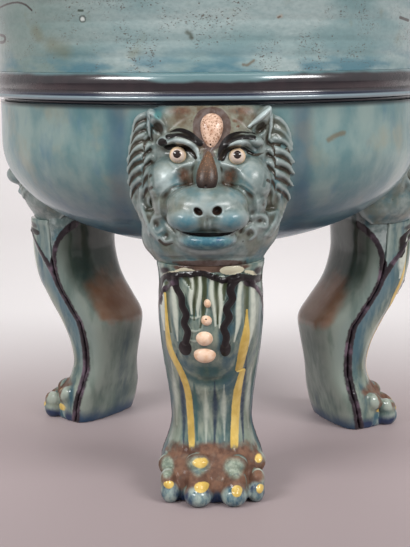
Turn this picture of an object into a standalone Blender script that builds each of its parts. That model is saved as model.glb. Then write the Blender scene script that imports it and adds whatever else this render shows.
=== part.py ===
"""Earthenware tripod bowl: two thrown sections under a raised ring, on three lion-mask legs.

Units are metres, +Z is up. The bowl's axis is the Z axis, the feet stand on Z = 0, and the front
leg is on -Y. Distances out from the wall are measured from the belly's upright wall.
"""

import bmesh
import bpy
from collections import namedtuple
from math import cos, hypot, pi, radians, sin, sqrt
from mathutils import Euler, Matrix

# Driving dimensions

TURN_STEPS = 42
LUTING_GAP = 0.0003

# The legs were luted on by eye, so the back pair stands a little off an even third.
LEG_TURNS = {"front": 0.0, "right": 114.0, "left": 234.0}

BELLY_RADIUS = 0.1190
BELLY_TOP = 0.2035
BELLY_TURN = 0.1800
BELLY_BOTTOM = 0.1200
BELLY_WALL = 0.0090
FLOOR_THICKNESS = 0.0100
FLOOR_FLAT_RADIUS = 0.0300

RING_BAND_PROUD = 0.0035
RING_BAND_HEIGHT = 0.0104
RING_LIP_PROUD = 0.0046
RING_LIP_HEIGHT = 0.0024
RING_UNDERCUT_DEPTH = 0.0018
RING_UNDERCUT_HEIGHT = 0.0034
RING_EDGE_ROUND = 0.0020

COLLAR_PROUD = 0.0015
COLLAR_WALL = 0.0080
RIM_RADIUS = 0.1560
RIM_HEIGHT = 0.3000
RIM_BEAD_RADIUS = 0.0052
FLARE_POWER = 3.2

LEDGE_HEIGHT = 0.1270
RECESS_HEIGHT = 0.0035
SHOULDER_HEIGHT = 0.0065
NECK_LIP_PROUD = 0.0180
NECK_HALF_WIDTH = 0.0262
NECK_HEIGHT = 0.0250
NECK_SPREAD = 1.25
MASK_VOXEL = 0.0020
MASK_FACE_SHARE = 0.066

LONG_SPAN = 0.0105
TOE_LOBE_DEPTH = 0.0042
TOE_FORK_ANGLE = radians(30.0)
PAW_TOP = 0.0250
PAW_FULL = 0.0190

EYE_RADIUS = 0.0041
EYE_SPACING = 0.0281
EYE_HEIGHT = 0.1805
EYE_PROUD = 0.0095
JEWEL_HEIGHT = 0.1925
JEWEL_PROUD = 0.0095
JEWEL_HALF_WIDTH = 0.0050
JEWEL_HALF_DEPTH = 0.0034
JEWEL_HALF_HEIGHT = 0.0080
JEWEL_TAPER = 0.35
JEWEL_NOD = 18
DROP_HEIGHT = 0.1750
DROP_PROUD = 0.0210
DROP_HALF_WIDTH = 0.0040
DROP_HALF_DEPTH = 0.0034
DROP_HALF_HEIGHT = 0.0105
DROP_TAPER = -0.45
DROP_NOD = -34

# Each station of the leg: height, distances of its back, seam and front out from the wall, half width.
Station = namedtuple("Station", "height back seam front half_width")
SOLE = Station(0.0000, -0.0400, -0.0310, -0.0010, 0.0255)
TOES = Station(0.0075, -0.0425, -0.0330, 0.0035, 0.0270)
CLAW_TOP = Station(0.0140, -0.0440, -0.0345, -0.0030, 0.0272)
KNUCKLES = Station(0.0200, -0.0455, -0.0360, -0.0095, 0.0268)
PAW_NECK = Station(0.0265, -0.0475, -0.0368, -0.0165, 0.0230)
ANKLE = Station(0.0370, -0.0500, -0.0375, -0.0175, 0.0208)
SHIN = Station(0.0500, -0.0522, -0.0375, -0.0145, 0.0214)
HOCK = Station(0.0630, -0.0535, -0.0360, -0.0075, 0.0226)
LOW_KNEE = Station(0.0760, -0.0500, -0.0275, 0.0010, 0.0236)
KNEE = Station(0.0900, -0.0365, -0.0190, 0.0085, 0.0250)
HIGH_KNEE = Station(0.1050, -0.0305, -0.0150, 0.0115, 0.0260)
LEG_TOP = Station(LEDGE_HEIGHT - SHOULDER_HEIGHT, -0.0305, -0.0140, 0.0125, 0.0257)
RECESS = Station(LEDGE_HEIGHT - RECESS_HEIGHT, -0.0310, -0.0140, 0.0090, 0.0246)
UNDER_LEDGE = Station(LEDGE_HEIGHT, -0.0315, -0.0140, 0.0090, 0.0246)
UNDER_BELLY = Station(0.1600, -0.0330, -0.0140, 0.0090, 0.0246)
LEG = (
    SOLE, TOES, CLAW_TOP, KNUCKLES, PAW_NECK, ANKLE, SHIN, HOCK,
    LOW_KNEE, KNEE, HIGH_KNEE, LEG_TOP, RECESS, UNDER_LEDGE, UNDER_BELLY,
)

# Each pearl on the knee: height, and half its width and height.
Pearl = namedtuple("Pearl", "height half_width half_height")
PEARLS = (
    Pearl(0.1065, 0.0018, 0.0021),
    Pearl(0.0980, 0.0027, 0.0027),
    Pearl(0.0888, 0.0042, 0.0038),
    Pearl(0.0800, 0.0055, 0.0038),
)
PEARL_STANDS_OUT = 0.0016

# Each soft form: across, out from the wall and up, then its three half sizes, then its nod and
# its roll in degrees, and how much it widens upwards.
Form = namedtuple(
    "Form",
    "across out up half_width half_depth half_height nod roll taper",
    defaults=(0, 0, 0),
)
MIDDLE_FORMS = (
    Form(0, -0.0130, 0.1760, 0.0305, 0.0270, 0.0310),
    Form(0, -0.0190, 0.1720, 0.0415, 0.0265, 0.0400),
    Form(0, 0.0110, 0.1710, 0.0075, 0.0110, 0.0150, -28),
    Form(0, 0.0195, 0.1575, 0.0200, 0.0160, 0.0105),
    Form(0, 0.0195, 0.1430, 0.0132, 0.0125, 0.0046),
    Form(0, -0.0070, 0.1520, 0.0240, 0.0240, 0.0200),
)
SIDE_FORMS = (
    Form(0.0092, 0.0240, 0.1535, 0.0105, 0.0128, 0.0070),
    Form(0.0190, 0.0035, 0.1650, 0.0115, 0.0140, 0.0140),
    Form(0.0110, 0.0082, 0.1860, 0.0070, 0.0074, 0.0034, 0, -24),
    Form(0.0200, 0.0045, 0.1880, 0.0075, 0.0070, 0.0034, 0, 12),
    Form(0.0240, 0.0000, 0.1965, 0.0036, 0.0080, 0.0085, 0, 46),
    Form(0.0230, 0.0010, 0.1480, 0.0060, 0.0120, 0.0085, 0, -15),
)

# The locks of the mane stand along half an ellipse on each side of the face.
LOCK_COUNT = 6
LOCK_TOP = 0.1930
LOCK_PITCH = 0.0100
LOCK_ACROSS = 0.0370
LOCK_MIDDLE = 0.1750
LOCK_RISE = 0.0500
LOCK_HALF_WIDTH = 0.0052
LOCK_HALF_HEIGHT = 0.0074
LOCK_STANDS_OUT = 0.0048
LOCK_ROLL = 28


# Collections and materials

def fresh_collection(name):
    collection = bpy.data.collections.new(name)
    bpy.context.scene.collection.children.link(collection)
    return collection


def glaze(name, colour, roughness, metallic=0.0):
    material = bpy.data.materials.new(name)
    material.use_nodes = True
    shader = material.node_tree.nodes["Principled BSDF"]
    shader.inputs["Base Color"].default_value = (*colour, 1.0)
    shader.inputs["Roughness"].default_value = roughness
    shader.inputs["Metallic"].default_value = metallic
    return material


def add_object(name, mesh, collection, material=None):
    piece = bpy.data.objects.new(name, mesh)
    collection.objects.link(piece)
    if material:
        piece.data.materials.clear()
        piece.data.materials.append(material)
    return piece


def mark_as_cutter(cutter):
    cutter.hide_render = True
    cutter.display_type = "WIRE"


def finished_mesh(piece, name):
    """The mesh of a piece with its modifiers applied, in the place where the piece stands."""
    bpy.context.view_layer.update()
    graph = bpy.context.evaluated_depsgraph_get()
    mesh = bpy.data.meshes.new_from_object(piece.evaluated_get(graph))
    mesh.name = name
    mesh.transform(piece.matrix_world)
    return mesh


# Turned pieces

def turned(name, profile, closed, collection, material=None):
    """A profile of (radius, height) points, turned round the Z axis."""
    mesh = bpy.data.meshes.new(name)
    count = len(profile)
    edges = [(i, (i + 1) % count) for i in range(count if closed else count - 1)]
    mesh.from_pydata([(r, 0.0, z) for r, z in profile], edges, [])
    piece = add_object(name, mesh, collection, material)
    screw = piece.modifiers.new("turn", "SCREW")
    screw.steps = TURN_STEPS
    screw.render_steps = TURN_STEPS
    screw.use_merge_vertices = True
    screw.merge_threshold = 0.00001
    return piece


def quarter_ellipse(radius, turn_height, depth, points):
    """From the upright wall at the turn, down and in towards the axis."""
    angles = [i * pi / 2 / points for i in range(points + 1)]
    return [(radius * cos(a), turn_height - depth * sin(a)) for a in angles]


def belly_profile():
    outside = quarter_ellipse(BELLY_RADIUS, BELLY_TURN, BELLY_TURN - BELLY_BOTTOM, 9)
    outside[-1] = (0.0, BELLY_BOTTOM)
    floor = BELLY_BOTTOM + FLOOR_THICKNESS
    inside = quarter_ellipse(BELLY_RADIUS - BELLY_WALL, BELLY_TURN, BELLY_TURN - floor, 7)
    inside = [(r, z) for r, z in inside if r > FLOOR_FLAT_RADIUS]
    inside.append((FLOOR_FLAT_RADIUS, floor))
    inside.append((0.0, floor))
    inside.reverse()
    inside.append((BELLY_RADIUS - BELLY_WALL, BELLY_TOP))
    return inside + [(BELLY_RADIUS, BELLY_TOP)] + outside


def ring_heights():
    bottom = BELLY_TOP + LUTING_GAP
    lip = bottom + RING_UNDERCUT_HEIGHT
    band = lip + RING_LIP_HEIGHT
    return bottom, lip, band, band + RING_BAND_HEIGHT


def ring_profile():
    bottom, lip, band, top = ring_heights()
    inner = BELLY_RADIUS - BELLY_WALL
    face = BELLY_RADIUS + RING_BAND_PROUD
    lip_edge = BELLY_RADIUS + RING_LIP_PROUD
    undercut = BELLY_RADIUS - RING_UNDERCUT_DEPTH
    edge = RING_EDGE_ROUND
    return [
        (inner, bottom),
        (inner, top),
        (face - edge, top),
        (face - edge * 0.29, top - edge * 0.29),
        (face, top - edge),
        (face, band + edge * 0.5),
        (face - edge * 0.4, band),
        (lip_edge, (lip + band) / 2 + RING_LIP_HEIGHT * 0.2),
        (lip_edge - edge * 0.3, lip),
        (undercut, lip - RING_UNDERCUT_HEIGHT * 0.35),
        (undercut, bottom),
    ]


def collar_radius_at(height):
    foot = ring_heights()[3] + LUTING_GAP
    rise = max(0.0, (height - foot) / (RIM_HEIGHT - RIM_BEAD_RADIUS - foot))
    start = BELLY_RADIUS + COLLAR_PROUD
    return start + (RIM_RADIUS - RIM_BEAD_RADIUS - start) * rise**FLARE_POWER


def collar_profile():
    """Outer wall, beaded rim and inner wall, which is the outer one moved in by its thickness."""
    foot = ring_heights()[3] + LUTING_GAP
    top = RIM_HEIGHT - RIM_BEAD_RADIUS
    count = 8
    outer, inner = [], []
    for i in range(count + 1):
        share = i / count
        height = foot + (top - foot) * (1 - (1 - share) ** 1.6)
        radius = collar_radius_at(height)
        step = 0.0002
        slope = (collar_radius_at(min(top, height + step)) - collar_radius_at(height - step)) / (
            min(top, height + step) - height + step
        )
        length = hypot(slope, 1.0)
        outer.append((radius, height))
        inner.append((radius - COLLAR_WALL / length, height + COLLAR_WALL * slope / length))
    inner[0] = (collar_radius_at(foot) - COLLAR_WALL, foot)
    centre = (RIM_RADIUS - RIM_BEAD_RADIUS, top)
    bead = []
    for i in range(7):
        angle = radians(150) - i * radians(225) / 6
        bead.append((centre[0] + RIM_BEAD_RADIUS * cos(angle), centre[1] + RIM_BEAD_RADIUS * sin(angle)))
    inner = [p for p in inner if hypot(p[0] - centre[0], p[1] - centre[1]) > RIM_BEAD_RADIUS * 1.7]
    outer = [p for p in outer if hypot(p[0] - centre[0], p[1] - centre[1]) > RIM_BEAD_RADIUS * 1.7]
    return inner + bead + list(reversed(outer))


def bowl_room(collection):
    """The room that the belly and the ring take, with the luting gap round it."""
    gap = LUTING_GAP
    side = quarter_ellipse(
        BELLY_RADIUS + gap, BELLY_TURN, BELLY_TURN - BELLY_BOTTOM + gap, 9
    )
    side[-1] = (0.0, BELLY_BOTTOM - gap)
    top = RIM_HEIGHT
    wide = RIM_RADIUS
    profile = [(0.0, top), (wide, top), (wide, BELLY_TOP), (BELLY_RADIUS + gap, BELLY_TOP)] + side
    room = turned("bowl_room", profile, False, collection)
    mark_as_cutter(room)
    return room


# Legs: lofts through horizontal sections, with the front leg on -Y

def leg_at(height):
    """The leg's sizes at any height, on a smooth curve through the stations."""
    last = len(LEG) - 1
    k = max(i for i in range(last) if LEG[i].height <= max(height, 0.0))
    a, b = LEG[k], LEG[k + 1]
    before, after = LEG[max(k - 1, 0)], LEG[min(k + 2, last)]
    span = b.height - a.height
    u = min(1.0, (height - a.height) / span)
    values = [height]
    for p, q, r, s in zip(before[1:], a[1:], b[1:], after[1:]):
        into = (r - p) / (b.height - before.height) * span
        out = (s - q) / (after.height - a.height) * span
        h = u * u * (3 - 2 * u)
        values.append(q + (r - q) * h + into * u * (1 - u) ** 2 - out * u * u * (1 - u))
    return Station(*values)


def toe_lobe(angle, height):
    """How far a toe swells out of the paw at an angle round its front."""
    full = min(1.0, max(0.0, (PAW_TOP - height) / (PAW_TOP - PAW_FULL)))
    size = abs(angle)
    if size < TOE_FORK_ANGLE:
        share = size / TOE_FORK_ANGLE
    else:
        share = (size - TOE_FORK_ANGLE) / (pi / 2 - TOE_FORK_ANGLE)
    return TOE_LOBE_DEPTH * full * (sqrt(max(0.0, sin(pi * share))) - 0.75) * cos(angle)


def front_section(height, points):
    """Half a superellipse, from one side of the seam round the front to the other."""
    at = leg_at(height)
    out = []
    for i in range(points + 1):
        angle = -pi / 2 + pi * i / points
        depth = at.front - at.seam - LUTING_GAP / 2
        bulge = toe_lobe(angle, height)
        across = at.half_width * abs(sin(angle)) ** 0.8 * (1 if angle > 0 else -1)
        reach = BELLY_RADIUS + at.seam + LUTING_GAP / 2 + depth * max(0.0, cos(angle)) ** 0.8 + bulge
        out.append((across, -reach, height))
    return out


def back_section(height, points):
    """A squarer half, from one side of the seam round the back to the other."""
    at = leg_at(height)
    out = []
    for i in range(points + 1):
        angle = pi / 2 - pi * i / points
        depth = at.seam - at.back - LUTING_GAP / 2
        across = at.half_width * abs(sin(angle)) ** 0.45 * (1 if angle > 0 else -1)
        reach = BELLY_RADIUS + at.seam - LUTING_GAP / 2 - depth * max(0.0, cos(angle)) ** 0.45
        out.append((across, -reach, height))
    return out


def lofted(name, sections):
    """A closed mesh through a list of rings with the same number of points, lowest first."""
    bm = bmesh.new()
    rings = [[bm.verts.new(p) for p in ring] for ring in sections]
    count = len(rings[0])
    for low, high in zip(rings, rings[1:]):
        for i in range(count):
            j = (i + 1) % count
            bm.faces.new((low[i], low[j], high[j], high[i]))
    bm.faces.new(list(reversed(rings[0])))
    bm.faces.new(rings[-1])
    bmesh.ops.recalc_face_normals(bm, faces=bm.faces)
    mesh = bpy.data.meshes.new(name)
    bm.to_mesh(mesh)
    bm.free()
    return mesh


def section_heights(top):
    """The stations' heights up to the top, with one more between those that lie far apart."""
    kept = [s.height for s in LEG if s.height <= top]
    heights = [kept[0]]
    for low, high in zip(kept, kept[1:]):
        if high - low > LONG_SPAN:
            heights.append((low + high) / 2)
        heights.append(high)
    return heights


def leg_front_mesh(pearl_room):
    sections = [front_section(h, 14) for h in section_heights(LEDGE_HEIGHT)]
    blank = add_object("leg_front_blank", lofted("leg_front_blank", sections), CUTTERS)
    mark_as_cutter(blank)
    cut(blank, pearl_room)
    return finished_mesh(blank, "leg_front")


def leg_back_mesh(room):
    sections = [back_section(h, 10) for h in section_heights(UNDER_BELLY.height)]
    blank = add_object("leg_back_blank", lofted("leg_back_blank", sections), CUTTERS)
    mark_as_cutter(blank)
    cut(blank, room)
    return finished_mesh(blank, "leg_back")


def cut(piece, cutter):
    boolean = piece.modifiers.new(cutter.name, "BOOLEAN")
    boolean.operation = "DIFFERENCE"
    boolean.solver = "EXACT"
    boolean.object = cutter


# Lion mask: soft forms grown together, then cut to sit on the belly and the leg

def add_form(bm, form, segments, rings, grow=0.0):
    """An ellipsoid at its place on the front of the bowl."""
    size = (form.half_width + grow, form.half_depth + grow, form.half_height + grow)
    place = Matrix.Translation((form.across, -BELLY_RADIUS - form.out, form.up))
    turn = Euler((radians(form.nod), radians(form.roll), 0)).to_matrix().to_4x4()
    scale = Matrix.Diagonal((*size, 1.0))
    ball = bmesh.ops.create_uvsphere(bm, u_segments=segments, v_segments=rings, radius=1.0)
    for vert in ball["verts"]:
        vert.co.x *= 1 + form.taper * vert.co.z
        vert.co = place @ turn @ scale @ vert.co


def mask_forms():
    forms = list(MIDDLE_FORMS)
    for form in SIDE_FORMS:
        forms.append(form)
        forms.append(form._replace(across=-form.across, roll=-form.roll))
    for number in range(LOCK_COUNT):
        height = LOCK_TOP - number * LOCK_PITCH
        across = LOCK_ACROSS * sqrt(1 - ((height - LOCK_MIDDLE) / LOCK_RISE) ** 2)
        out = sqrt(BELLY_RADIUS**2 - across**2) - BELLY_RADIUS + LOCK_STANDS_OUT / 2
        lock = Form(
            across, out, height, LOCK_HALF_WIDTH, LOCK_STANDS_OUT, LOCK_HALF_HEIGHT, 0, LOCK_ROLL
        )
        forms.append(lock)
        forms.append(lock._replace(across=-across, roll=-LOCK_ROLL))
    return forms


def add_neck(bm):
    """The neck narrows down to the lip over the leg."""
    top = LEDGE_HEIGHT + NECK_HEIGHT
    bottom = LEDGE_HEIGHT - MASK_VOXEL * 2
    middle = BELLY_RADIUS + UNDER_LEDGE.seam
    turn = Matrix.Translation((0, -middle, (top + bottom) / 2))
    depth = NECK_LIP_PROUD - UNDER_LEDGE.seam
    bmesh.ops.create_cone(
        bm,
        cap_ends=True,
        segments=28,
        radius1=NECK_HALF_WIDTH,
        radius2=NECK_HALF_WIDTH * NECK_SPREAD,
        depth=top - bottom,
        matrix=turn @ Matrix.Diagonal((1.0, depth / NECK_HALF_WIDTH, 1.0, 1.0)),
    )


def block(name, size, middle, collection):
    bm = bmesh.new()
    place = Matrix.Translation(middle) @ Matrix.Diagonal((*size, 1.0))
    bmesh.ops.create_cube(bm, size=1.0, matrix=place)
    mesh = bpy.data.meshes.new(name)
    bm.to_mesh(mesh)
    bm.free()
    cutter = add_object(name, mesh, collection)
    mark_as_cutter(cutter)
    return cutter


def leg_rooms(collection):
    """What lies under the mask's lower lip, and what lies behind the leg's seam."""
    wide, deep = BELLY_RADIUS, BELLY_RADIUS * 2
    lip = LEDGE_HEIGHT + LUTING_GAP
    under = block("room_under_lip", (wide, deep, lip), (0, -deep / 2, lip / 2), collection)
    seam = BELLY_RADIUS + UNDER_LEDGE.seam + LUTING_GAP / 2
    top = UNDER_BELLY.height
    behind = block("room_behind_seam", (wide, seam, top), (0, -seam / 2, top / 2), collection)
    return under, behind


def lion_mask_mesh(rooms):
    bm = bmesh.new()
    for form in mask_forms():
        add_form(bm, form, 24, 16)
    add_neck(bm)
    mesh = bpy.data.meshes.new("lion_mask_blank")
    bm.to_mesh(mesh)
    bm.free()
    blank = add_object("lion_mask_blank", mesh, CUTTERS)
    mark_as_cutter(blank)
    grown = blank.modifiers.new("grow_together", "REMESH")
    grown.mode = "VOXEL"
    grown.voxel_size = MASK_VOXEL
    soft = blank.modifiers.new("soften", "SMOOTH")
    soft.factor = 0.5
    soft.iterations = 2
    fewer = blank.modifiers.new("fewer_faces", "DECIMATE")
    fewer.ratio = MASK_FACE_SHARE
    for room in rooms:
        cut(blank, room)
    return finished_mesh(blank, "lion_mask")


# Applied clay: eyes, jewel, nose drop and pearls, each pressed into a pocket

def applied_forms():
    forms = {}
    for side, name in ((-1, "eye_left"), (1, "eye_right")):
        forms[name] = Form(
            side * EYE_SPACING / 2, EYE_PROUD, EYE_HEIGHT, EYE_RADIUS, EYE_RADIUS, EYE_RADIUS
        )
    jewel = (JEWEL_HALF_WIDTH, JEWEL_HALF_DEPTH, JEWEL_HALF_HEIGHT)
    forms["forehead_jewel"] = Form(
        0, JEWEL_PROUD, JEWEL_HEIGHT, *jewel, nod=JEWEL_NOD, taper=JEWEL_TAPER
    )
    drop = (DROP_HALF_WIDTH, DROP_HALF_DEPTH, DROP_HALF_HEIGHT)
    forms["nose_drop"] = Form(0, DROP_PROUD, DROP_HEIGHT, *drop, nod=DROP_NOD, taper=DROP_TAPER)
    return forms


def pearl_forms():
    forms = {}
    for number, pearl in enumerate(PEARLS, 1):
        out = leg_at(pearl.height).front - PEARL_STANDS_OUT
        forms[f"pearl_{number}"] = Form(
            0, out, pearl.height, pearl.half_width, PEARL_STANDS_OUT * 2, pearl.half_height
        )
    return forms


def form_mesh(name, form, grow=0.0):
    bm = bmesh.new()
    add_form(bm, form, 9, 6, grow)
    mesh = bpy.data.meshes.new(name)
    bm.to_mesh(mesh)
    bm.free()
    return mesh


def pockets(name, forms, collection):
    """The forms with the luting gap round them, as one cutter."""
    bm = bmesh.new()
    for form in forms.values():
        add_form(bm, form, 9, 6, LUTING_GAP)
    mesh = bpy.data.meshes.new(name)
    bm.to_mesh(mesh)
    bm.free()
    cutter = add_object(name, mesh, collection)
    mark_as_cutter(cutter)
    return cutter


# The whole bowl

for old in list(bpy.data.objects):
    bpy.data.objects.remove(old)

BOWL = fresh_collection("tripod_bowl")
CUTTERS = fresh_collection("cutters")

turquoise = glaze("turquoise_glaze", (0.24, 0.34, 0.35), 0.25)
blue_belly = glaze("blue_belly_glaze", (0.16, 0.27, 0.32), 0.22)
manganese = glaze("manganese_glaze", (0.03, 0.022, 0.025), 0.18)
green_relief = glaze("green_relief_glaze", (0.28, 0.34, 0.30), 0.25)
fur_glaze = glaze("fur_glaze", (0.34, 0.38, 0.28), 0.28)
back_glaze = glaze("leg_back_glaze", (0.20, 0.27, 0.26), 0.30)
cream_clay = glaze("cream_clay", (0.80, 0.62, 0.47), 0.30)
white_clay = glaze("white_clay", (0.78, 0.78, 0.74), 0.20)
pink_clay = glaze("pink_clay", (0.66, 0.55, 0.50), 0.28)
dark_clay = glaze("dark_clay", (0.09, 0.05, 0.035), 0.20)

turned("bowl_belly", belly_profile(), False, BOWL, blue_belly)
turned("ring_moulding", ring_profile(), True, BOWL, manganese)
turned("bowl_collar", collar_profile(), True, BOWL, turquoise)

belly_room = bowl_room(CUTTERS)
ledge_rooms = leg_rooms(CUTTERS)
face_forms = applied_forms()
knee_forms = pearl_forms()
face_pockets = pockets("face_pockets", face_forms, CUTTERS)
knee_pockets = pockets("knee_pockets", knee_forms, CUTTERS)
bpy.context.view_layer.update()

clays = {
    "eye_left": white_clay,
    "eye_right": white_clay,
    "forehead_jewel": pink_clay,
    "nose_drop": dark_clay,
}
knee_mesh = leg_front_mesh(knee_pockets)
all_forms = {**face_forms, **knee_forms}
applied_meshes = {name: form_mesh(name, form) for name, form in all_forms.items()}

for place, turn in LEG_TURNS.items():
    belly_room.rotation_euler.z = -radians(turn)
    hub = bpy.data.objects.new(f"{place}_leg", None)
    BOWL.objects.link(hub)
    hub.rotation_euler.z = radians(turn)
    mask_mesh = lion_mask_mesh((belly_room, *ledge_rooms, face_pockets))
    back_mesh = leg_back_mesh(belly_room)
    pieces = [
        add_object(f"{place}_lion_mask", mask_mesh, BOWL, green_relief),
        add_object(f"{place}_leg_front", knee_mesh.copy(), BOWL, fur_glaze),
        add_object(f"{place}_leg_back", back_mesh, BOWL, back_glaze),
    ]
    for name, mesh in applied_meshes.items():
        pieces.append(add_object(f"{place}_{name}", mesh, BOWL, clays.get(name, cream_clay)))
    for piece in pieces:
        piece.parent = hub
belly_room.rotation_euler.z = 0.0

for piece in BOWL.objects:
    if piece.type == "MESH":
        piece.data.shade_smooth()
        piece.data.set_sharp_from_angle(angle=radians(40))
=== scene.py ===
# %% [markdown]
# # An earthenware tripod bowl
#
# A potter throws this bowl in two sections, covers their joint with a raised ring, and lutes on three
# legs that come out of one press mould. Each leg is a lion's mask over a paw. Coloured lead glazes run
# over the whole, thin on what stands proud and thick in what lies deep.
#
# The lesson builds the bowl in that order: the turned pieces, the masks, the legs with their trails of
# slip, the pellets of clay, and the glazes. The pieces take the places of a imported model's, which this
# first cell loads as a frame.

# %% Load the frame
import bmesh
import bpy
import numpy as np
from math import cos, pi, radians, sin, sqrt
from mathutils import Euler, Matrix, Vector


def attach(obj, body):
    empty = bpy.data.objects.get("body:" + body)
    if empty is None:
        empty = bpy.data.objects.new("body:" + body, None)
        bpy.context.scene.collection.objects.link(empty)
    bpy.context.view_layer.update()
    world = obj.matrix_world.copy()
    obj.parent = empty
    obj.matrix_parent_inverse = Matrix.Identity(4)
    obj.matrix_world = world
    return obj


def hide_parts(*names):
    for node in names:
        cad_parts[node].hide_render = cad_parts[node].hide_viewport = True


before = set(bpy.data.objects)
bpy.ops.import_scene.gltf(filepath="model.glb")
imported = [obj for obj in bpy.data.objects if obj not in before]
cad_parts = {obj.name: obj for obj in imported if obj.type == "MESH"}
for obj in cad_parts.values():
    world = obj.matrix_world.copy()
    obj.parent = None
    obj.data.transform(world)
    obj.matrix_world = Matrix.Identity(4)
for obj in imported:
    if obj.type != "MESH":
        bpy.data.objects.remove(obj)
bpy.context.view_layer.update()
MM = 0.001
WALL = 119.0  # millimetres from the bowl's axis to the belly's upright wall

# %% [markdown]
# ## The camera
#
# The photograph looks a little down at the bowl, through a long lens. Its place follows from two things
# that can be measured in the picture: how much the ring's edge curves, and where the feet stand. The
# camera leans by half a degree, as a hand-held one does.

# %% Camera
PICTURE_HEIGHT_PX = 547
FOCAL_LENGTH_PX = 1253
CAMERA_DISTANCE = 0.7296
CAMERA_HEIGHT = 0.2292
CAMERA_TURN = radians(0.1)
CAMERA_LOOKS_DOWN = radians(10.03)
CAMERA_LOOKS_LEFT = radians(0.28)
CAMERA_LEANS = radians(-0.45)

camera_data = bpy.data.cameras.new("camera")
camera_data.sensor_fit = "VERTICAL"
camera_data.sensor_height = 24
camera_data.lens = FOCAL_LENGTH_PX / PICTURE_HEIGHT_PX * camera_data.sensor_height
camera = bpy.data.objects.new("camera", camera_data)
bpy.context.scene.collection.objects.link(camera)
camera.matrix_world = (
    Matrix.Rotation(CAMERA_TURN, 4, "Z")
    @ Matrix.Translation((0, -CAMERA_DISTANCE, CAMERA_HEIGHT))
    @ Matrix.Rotation(CAMERA_LOOKS_LEFT, 4, "Z")
    @ Matrix.Rotation(pi / 2 - CAMERA_LOOKS_DOWN, 4, "X")
    @ Matrix.Rotation(CAMERA_LEANS, 4, "Z")
)
bpy.context.scene.camera = camera
print("camera: lens", round(camera_data.lens, 1), "mm")

# %% [markdown]
# ## Shader sums that read like sums
#
# A glaze is a sum of many thin things: pooling, speckle, brush marks. `Socket` lets a material say
# `1 - pool * 0.5` where Blender needs a chain of Math nodes, and `Glaze.node` makes any other node from
# its type, its settings and its sockets' values. Colours never go through Math, which would turn them
# grey: they go through `Glaze.blend`.

# %% Sockets
class Socket:
    """One output of a shader node. Sums and products of sockets add their own Math nodes."""

    def __init__(self, glaze, output):
        self.glaze = glaze
        self.output = output

    def math(self, operation, first, second):
        return self.glaze.node("Math", {"operation": operation}, {0: first, 1: second})

    def __add__(self, other):
        return self.math("ADD", self, other)

    def __radd__(self, other):
        return self.math("ADD", other, self)

    def __sub__(self, other):
        return self.math("SUBTRACT", self, other)

    def __rsub__(self, other):
        return self.math("SUBTRACT", other, self)

    def __mul__(self, other):
        return self.math("MULTIPLY", self, other)

    def __rmul__(self, other):
        return self.math("MULTIPLY", other, self)

    def up_to(self, other):
        return self.math("MINIMUM", self, other)

    def at_least(self, other):
        return self.math("MAXIMUM", self, other)

    def between(self, low, high):
        """0 below low, 1 above high, and a soft step from one to the other."""
        settings = {"interpolation_type": "SMOOTHSTEP"}
        return self.glaze.node("MapRange", settings, {0: self, 1: low, 2: high})


print("helper: sockets")


# %% Glazes
def linear(red, green, blue):
    """A screen colour, from 0 to 255, as the light that it stands for."""
    shares = [value / 255 for value in (red, green, blue)]
    light = [s / 12.92 if s <= 0.04045 else ((s + 0.055) / 1.055) ** 2.4 for s in shares]
    return (*light, 1.0)


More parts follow.
